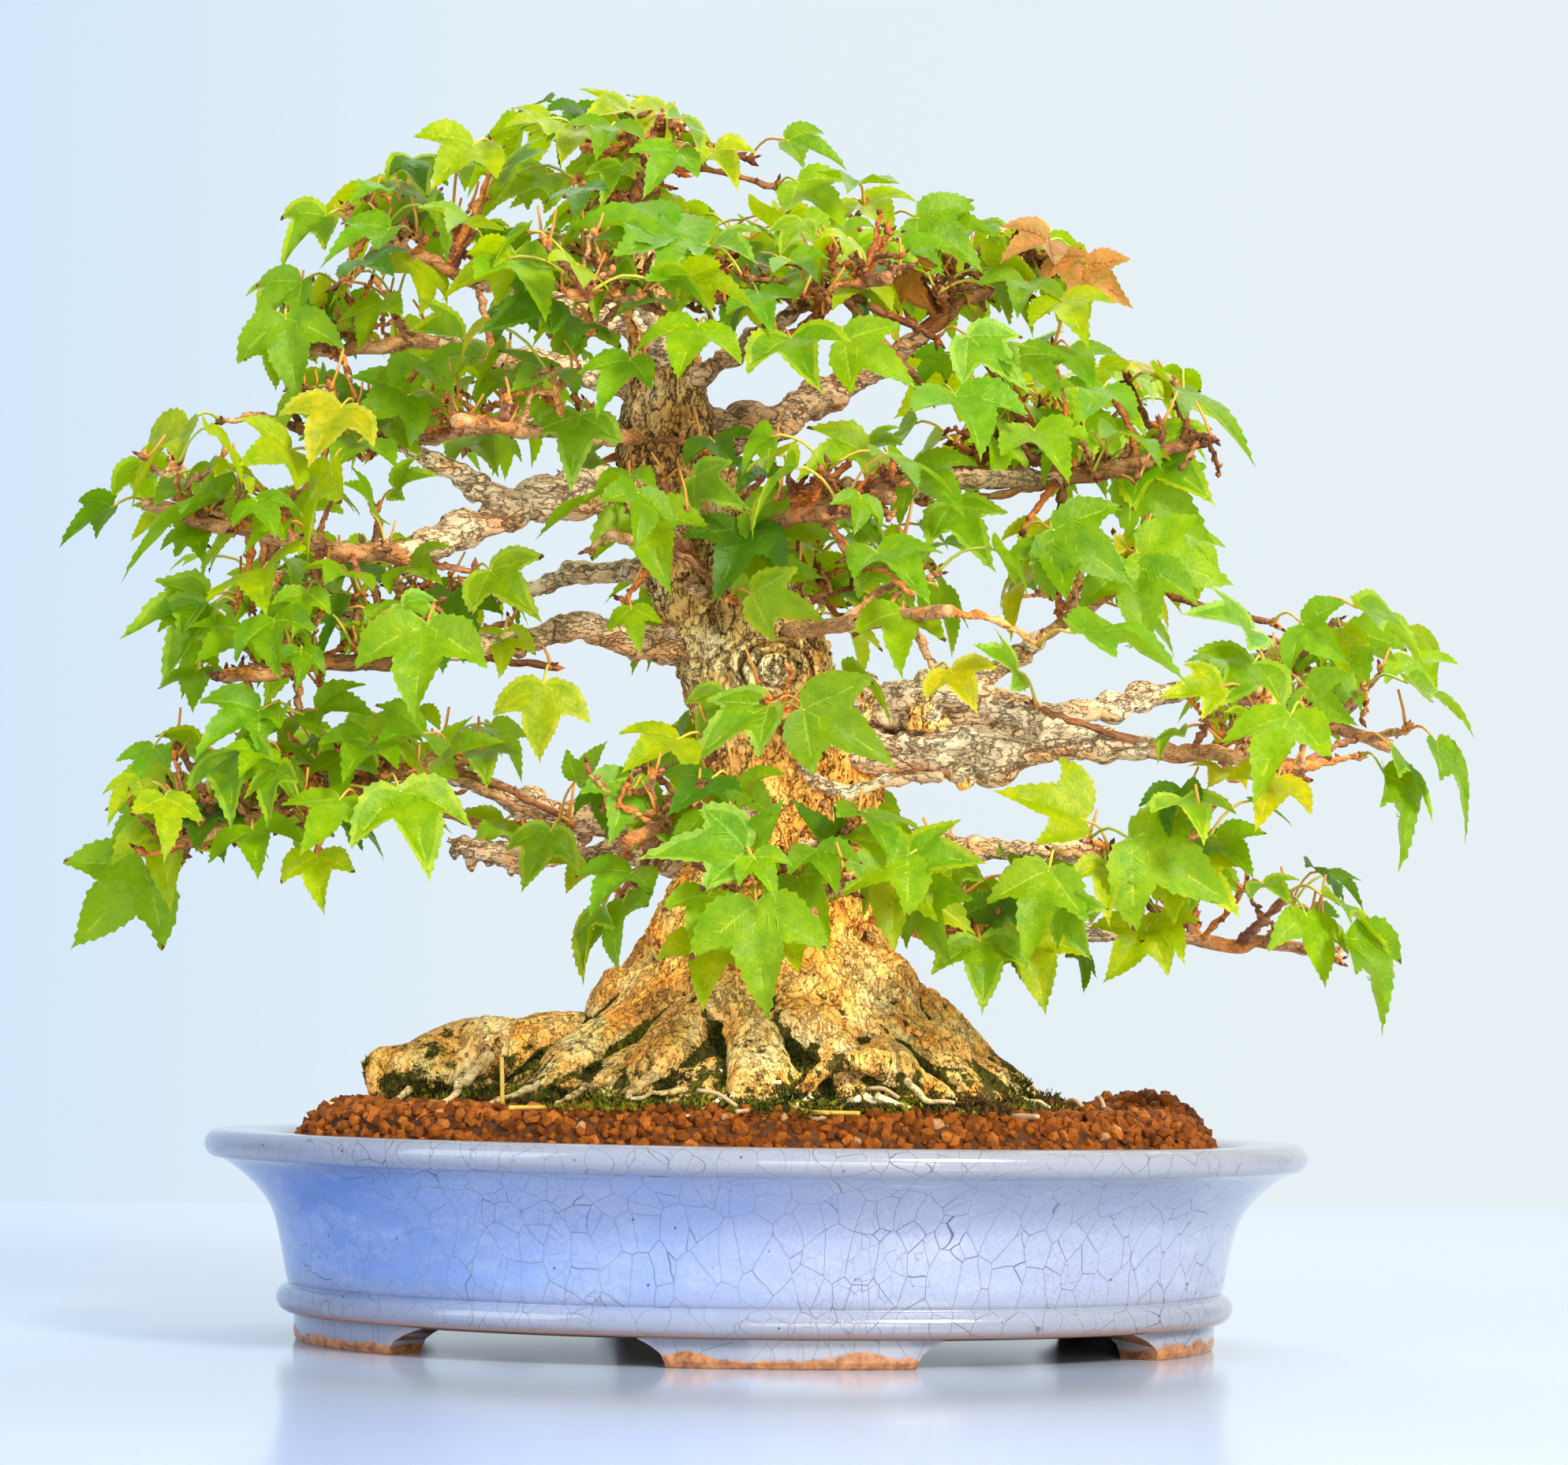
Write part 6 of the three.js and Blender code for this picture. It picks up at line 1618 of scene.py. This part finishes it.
def add_leaf(foliage, node_place, bearing, space, draw, tint, size=1.0):
    """One leaf on its stalk, at the best of a few poses."""
    best = None
    for attempt in range(LEAF_TRIES):
        turn = bearing + (draw() - 0.5) * (0.6 + 0.35 * attempt)
        stalk = between(STALK_LENGTH, draw)
        foot = node_place + stalk * way_of(turn, math.radians(5 + 45 * draw()))
        droop = math.radians(between(DROOP, draw))
        arch = 0.2 + 0.7 * draw()
        length = LEAF_LENGTH * size * between(LEAF_SHARES, draw)
        heading = way_of(turn + (draw() - 0.5) * 0.9, -droop)
        frame_at = leaf_frame(heading, np.array([0.0, 0, 1]), (draw() - 0.5) * 1.3, arch)
        spots = leaf_spots(foot, heading, frame_at[1], length)
        tip = foot + heading * length
        if not inside_space(tip, *space) or beside_trunk(spots) < TRUNK_ROOM:
            continue
        if foliage.hides(spots[0], spots[0][1]) or any(in_ovals(spot, SKY) for spot in spots):
            continue
        if before_trunk(spots) or not in_outline([*spots, tip, foot]):
            continue
        room = foliage.room(spots)
        if best is None or room > best[0]:
            best = (room, foot, length, arch, frame_at, spots)
        if room > AMPLE_ROOM:
            break
    if best is None or best[0] < LEAST_ROOM:
        return
    _, foot, length, arch, frame_at, spots = best
    put_leaf(foliage, foot, length, arch, frame_at, tint, draw, spots)
    put_stalk(foliage, node_place, foot, frame_at[0], int(draw() * 3))


def host_of(mass):
    name, height, middle, _ = mass
    if height is None:
        _, crook, tip, thick = BOUGHS[name]
        return np.array(tip, float), unit(np.subtract(tip, crook)), thick[1]
    tip = np.array([np.interp(height, TRUNK[:, 0], TRUNK[:, 1]), np.interp(height, TRUNK[:, 0], TRUNK[:, 2]), height])
    return tip, unit(np.subtract(middle, tip)), STEM_ROOT


def stem_of(mass):
    tip, course, radius = host_of(mass)
    middle, half = np.array(mass[2], float), np.array(mass[3], float)
    root = tip - STEM_SEAT * course
    far = middle + unit(middle - root) * half * STEM_REACH
    bend = root + (middle - root) * 0.4 + course * 5
    return spline([root, bend, far], STEM_RINGS), radius


def grow(foliage, index, mass, stem, radius):
    middle, half = np.array(mass[2], float), np.array(mass[3], float)
    draw = random_stream(MASS_SEED * (index + 1))
    crooked = meander(stem, 2.0, 9.0, 600 + index)
    add_limb(foliage.twigs, turn_points(crooked), np.linspace(radius * 1.02, STEM_TIP, STEM_RINGS), 9, 0.3, 4.0,
             640 + index)
    crown, fall, layers, chance = DOME
    share = (SPARSE_RIGHT if middle[0] > RIGHT_FROM else DENSE_TOP if middle[2] > TOP_FROM
             else SPARSE_LEFT if middle[0] < LEFT_FROM else 1)
    wanted = round(half.prod() / SPACE_PER_NODE * share)
    names = list(TINT_SHARES)
    shares = np.cumsum(list(TINT_SHARES.values()))
    for i in range(wanted):
        turn = i * GOLDEN_ANGLE + index
        rim = math.sqrt(((i + 0.5) / wanted) % 1)
        layer = (i % 3) / 2 - 0.5
        end = middle + np.array([
            TWIG_REACH * half[0] * rim * math.cos(turn), TWIG_REACH * half[1] * rim * math.sin(turn),
            half[2] * (crown - fall * rim * rim + layers * layer + chance * (draw() - 0.5))])
        steps = 0.3 + 0.05 * np.arange(15)
        spots = stem[(steps * (STEM_RINGS - 1)).astype(int)]
        closest = steps[np.argmin(np.linalg.norm(spots - end, axis=1))]
        fork = crooked[int(max(0.25, closest - 0.15) * (STEM_RINGS - 1))]
        tip = fork + (end - fork) * 0.66
        if in_ovals(tip, SKY):
            continue
        put_twig(foliage, fork, tip, draw)
        tint_roll = draw() * shares[-1]
        tint = list(TINTS).index(names[int(np.searchsorted(shares, tint_roll))])
        away = (tip - middle) / half
        outward = unit(np.array([tip[0], tip[1], 0])) * 0.7 + np.array([away[0], away[1], 0])
        bearing = math.atan2(outward[1], outward[0])
        space = (middle, half)
        open_front = middle[1] < 0 and tip[1] < middle[1] + 12
        if open_front and draw() < FRONT_THINNING:
            continue
        add_leaf(foliage, tip, bearing + 0.95 + 0.5 * draw(), space, draw, tint)
        add_leaf(foliage, tip, bearing - 0.95 - 0.5 * draw(), space, draw, tint)
        if draw() < 0.7:
            add_leaf(foliage, tip, bearing + (draw() - 0.5) * 0.5, space, draw, tint, 0.85)
        if draw() < 0.45:
            midway = fork + (tip - fork) * 0.6
            add_leaf(foliage, midway, bearing + math.pi * (0.5 + draw()), space, draw, tint, 0.8)
        for _ in range(2):
            start = fork + (tip - fork) * (0.3 + 0.5 * draw())
            way = unit(stray(draw, 0.25))
            put_twig(foliage, start, start + way * (9 + 12 * draw()), draw, 1.0, 3.0, 1)


def make_foliage():
    foliage = Foliage()
    stems = [stem_of(mass) for mass in MASSES]
    joints = np.vstack([stem for stem, _ in stems])
    for row, values in enumerate(PLACED_LEAVES):
        place_leaf(foliage, row, values, joints)
    for index, mass in enumerate(MASSES):
        grow(foliage, index, mass, *stems[index])
    materials = []
    for name, (blade, glow, margin) in TINTS.items():
        materials.append(leaf_material(f"leaf_{name}", blade, glow))
        materials.append(leaf_material(f"leaf_{name}_edge", margin, glow, 0.55))
    materials.append(leaf_material("leaf_lime_rim", (166, 196, 20), (206, 218, 6)))
    materials.append(leaf_material("leaf_brown_tip", (118, 66, 34), (120, 60, 20)))
    for part, side in enumerate(("left", "right")):
        leaves = foliage.leaves[part].build(f"leaves_{side}", materials)
        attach(leaves, "root")
        nodes = [f"foliage_{mass[0]}" for mass in MASSES if (mass[2][0] < 0) == (part == 0)]
        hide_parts(*nodes)
    stalks = foliage.stalks.build("leaf_stalks", [mottled_material(*tones, 150, 0.5) for tones in (
        ("stalk_yellow", (216, 190, 60), (232, 206, 92)), ("stalk_orange", (228, 150, 60), (238, 172, 84)),
        ("stalk_green", (176, 184, 50), (198, 204, 76)))])
    twig_barks = [bark_material(name, *tones, False, 0.5) for name, *tones in (
        ("bark_twig", (216, 170, 118), (178, 124, 78), (122, 78, 48), (206, 122, 58)),
        ("bark_twig_orange", (228, 164, 96), (204, 124, 58), (150, 78, 36), (222, 128, 50)),
        ("bark_twig_dark", (196, 138, 96), (146, 92, 60), (92, 54, 36), (180, 100, 52)))]
    twigs = [pile.build(f"twigs_{side}", twig_barks) for pile, side in zip(foliage.twigs.halves(), ("left", "right"))]
    buds = foliage.buds.build("buds", [mottled_material("bud_scales", (84, 40, 26), (128, 66, 40), 500)])
    for piece, slot in ((stalks, "foliage"), (twigs[0], "bark"), (twigs[1], "bark"), (buds, "foliage")):
        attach(piece, "root")


make_foliage()


# ---- Studio: pale floor and wall, soft lights, and the camera at the photo's angle ----
right_way = way_of(CAMERA_TURN)
view_way = np.array([-math.sin(CAMERA_TURN) * math.cos(CAMERA_PITCH), math.cos(CAMERA_TURN) * math.cos(CAMERA_PITCH),
                     math.sin(CAMERA_PITCH)])
flat_way = unit(view_way * (1, 1, 0))
up_way = np.cross(right_way, view_way)
level_right = right_way.copy()
right_way, up_way = (right_way * math.cos(CAMERA_ROLL) - up_way * math.sin(CAMERA_ROLL),
                     up_way * math.cos(CAMERA_ROLL) + right_way * math.sin(CAMERA_ROLL))
eye = np.array([CAMERA_AWAY * math.sin(CAMERA_TURN), -CAMERA_AWAY * math.cos(CAMERA_TURN), CAMERA_HEIGHT])
eye = eye + CAMERA_ASIDE * level_right


LIGHTS = [
    # name, place and target in metres, size, power, colour
    ("key_light", (1.25, -1.9, 1.5), (0, 0, 0.2), (0.65, 0.65), 86, (1.0, 0.95, 0.86)),
    ("window_light", (-1.7, -1.3, 0.9), (0, 0, 0.15), (1.2, 1.6), 22, (0.9, 0.95, 1.0)),
    ("low_light", (0.5, -2.2, 0.35), (0, 0, 0.22), (1.2, 0.6), 11, (1.0, 0.93, 0.82)),
    ("back_light", (0.3, 0.95, 1.6), (0, 0, 0.3), (1.6, 0.8), 18, (1.0, 0.99, 0.95))]


def make_camera():
    camera = bpy.data.cameras.new("photo_camera")
    camera.sensor_width = SENSOR
    camera.lens = FOCAL / PHOTO_WIDTH * SENSOR
    camera.clip_start, camera.clip_end = 0.05, 30
    holder = bpy.data.objects.new("photo_camera", camera)
    bpy.context.scene.collection.objects.link(holder)
    place = eye * MM + POT_CENTRE
    rows = [[*row, spot] for row, spot in zip(np.stack([right_way, up_way, -view_way], 1), place)]
    holder.matrix_world = Matrix([*rows, [0, 0, 0, 1]])
    bpy.context.scene.camera = holder


def stage_mesh(name, corners, material):
    points = np.array(corners) * MM + POT_CENTRE
    piece = mesh_piece(name, points, quad(0, 1, 2, 3), [material], smooth=False)


def area_light(name, place, target, size, power, colour):
    light = bpy.data.lights.new(name, "AREA")
    light.shape = "RECTANGLE"
    light.size, light.size_y = size
    light.energy = power
    light.color = colour
    holder = bpy.data.objects.new(name, light)
    bpy.context.scene.collection.objects.link(holder)
    holder.location = Vector(place)
    holder.rotation_euler = (Vector(target) - Vector(place)).to_track_quat("-Z", "Y").to_euler()


def make_studio():
    floor = Shade("floor_white", 0.12, 0.2)
    floor.set("Base Color", srgb(195, 207, 226))
    # Painted light: the wall is near black and glows, bluer to the left, in place of a lit backdrop and the bluish
    # light from the left
    wall = Shade("wall_glow", 0.9, 0.1)
    side = wall.span(wall.axes(wall.where)[0], -1, 1)
    wall.set("Emission Color", wall.ramp(side, (0, (196, 222, 250)), (0.5, (224, 237, 245)), (1, (229, 239, 243))))
    wall.set("Emission Strength", 1.0)
    wall.set("Base Color", as_colour(0.02))

    def ground(across, depth):
        spot = eye * (1, 1, 0) + level_right * across + flat_way * depth
        return np.array([spot[0], spot[1], 0])
    # The wall's foot runs from near on the left to further on the right
    left, right = ground(-452, 2277), ground(505, 2545)
    way = right - left
    far_left, far_right = left - way * 4, right + way * 4
    near = flat_way * 6000
    stage_mesh("floor", [far_left - near, far_right - near, far_right, far_left], floor.material)
    beyond = flat_way * 2300
    rise, fall = np.array([0, 0, 4500]), np.array([0, 0, -900])
    stage_mesh("wall", [far_left + beyond + fall, far_right + beyond + fall, far_right + beyond + rise,
                        far_left + beyond + rise], wall.material)
    world = bpy.data.worlds.new("studio")
    bpy.context.scene.world = world
    world.use_nodes = True
    backdrop = world.node_tree.nodes["Background"]
    backdrop.inputs["Color"].default_value = srgb(236, 242, 252)
    backdrop.inputs["Strength"].default_value = 0.47
    for light in LIGHTS:
        area_light(*light)
    bpy.context.scene.view_settings.view_transform = "Standard"


make_camera()
make_studio()
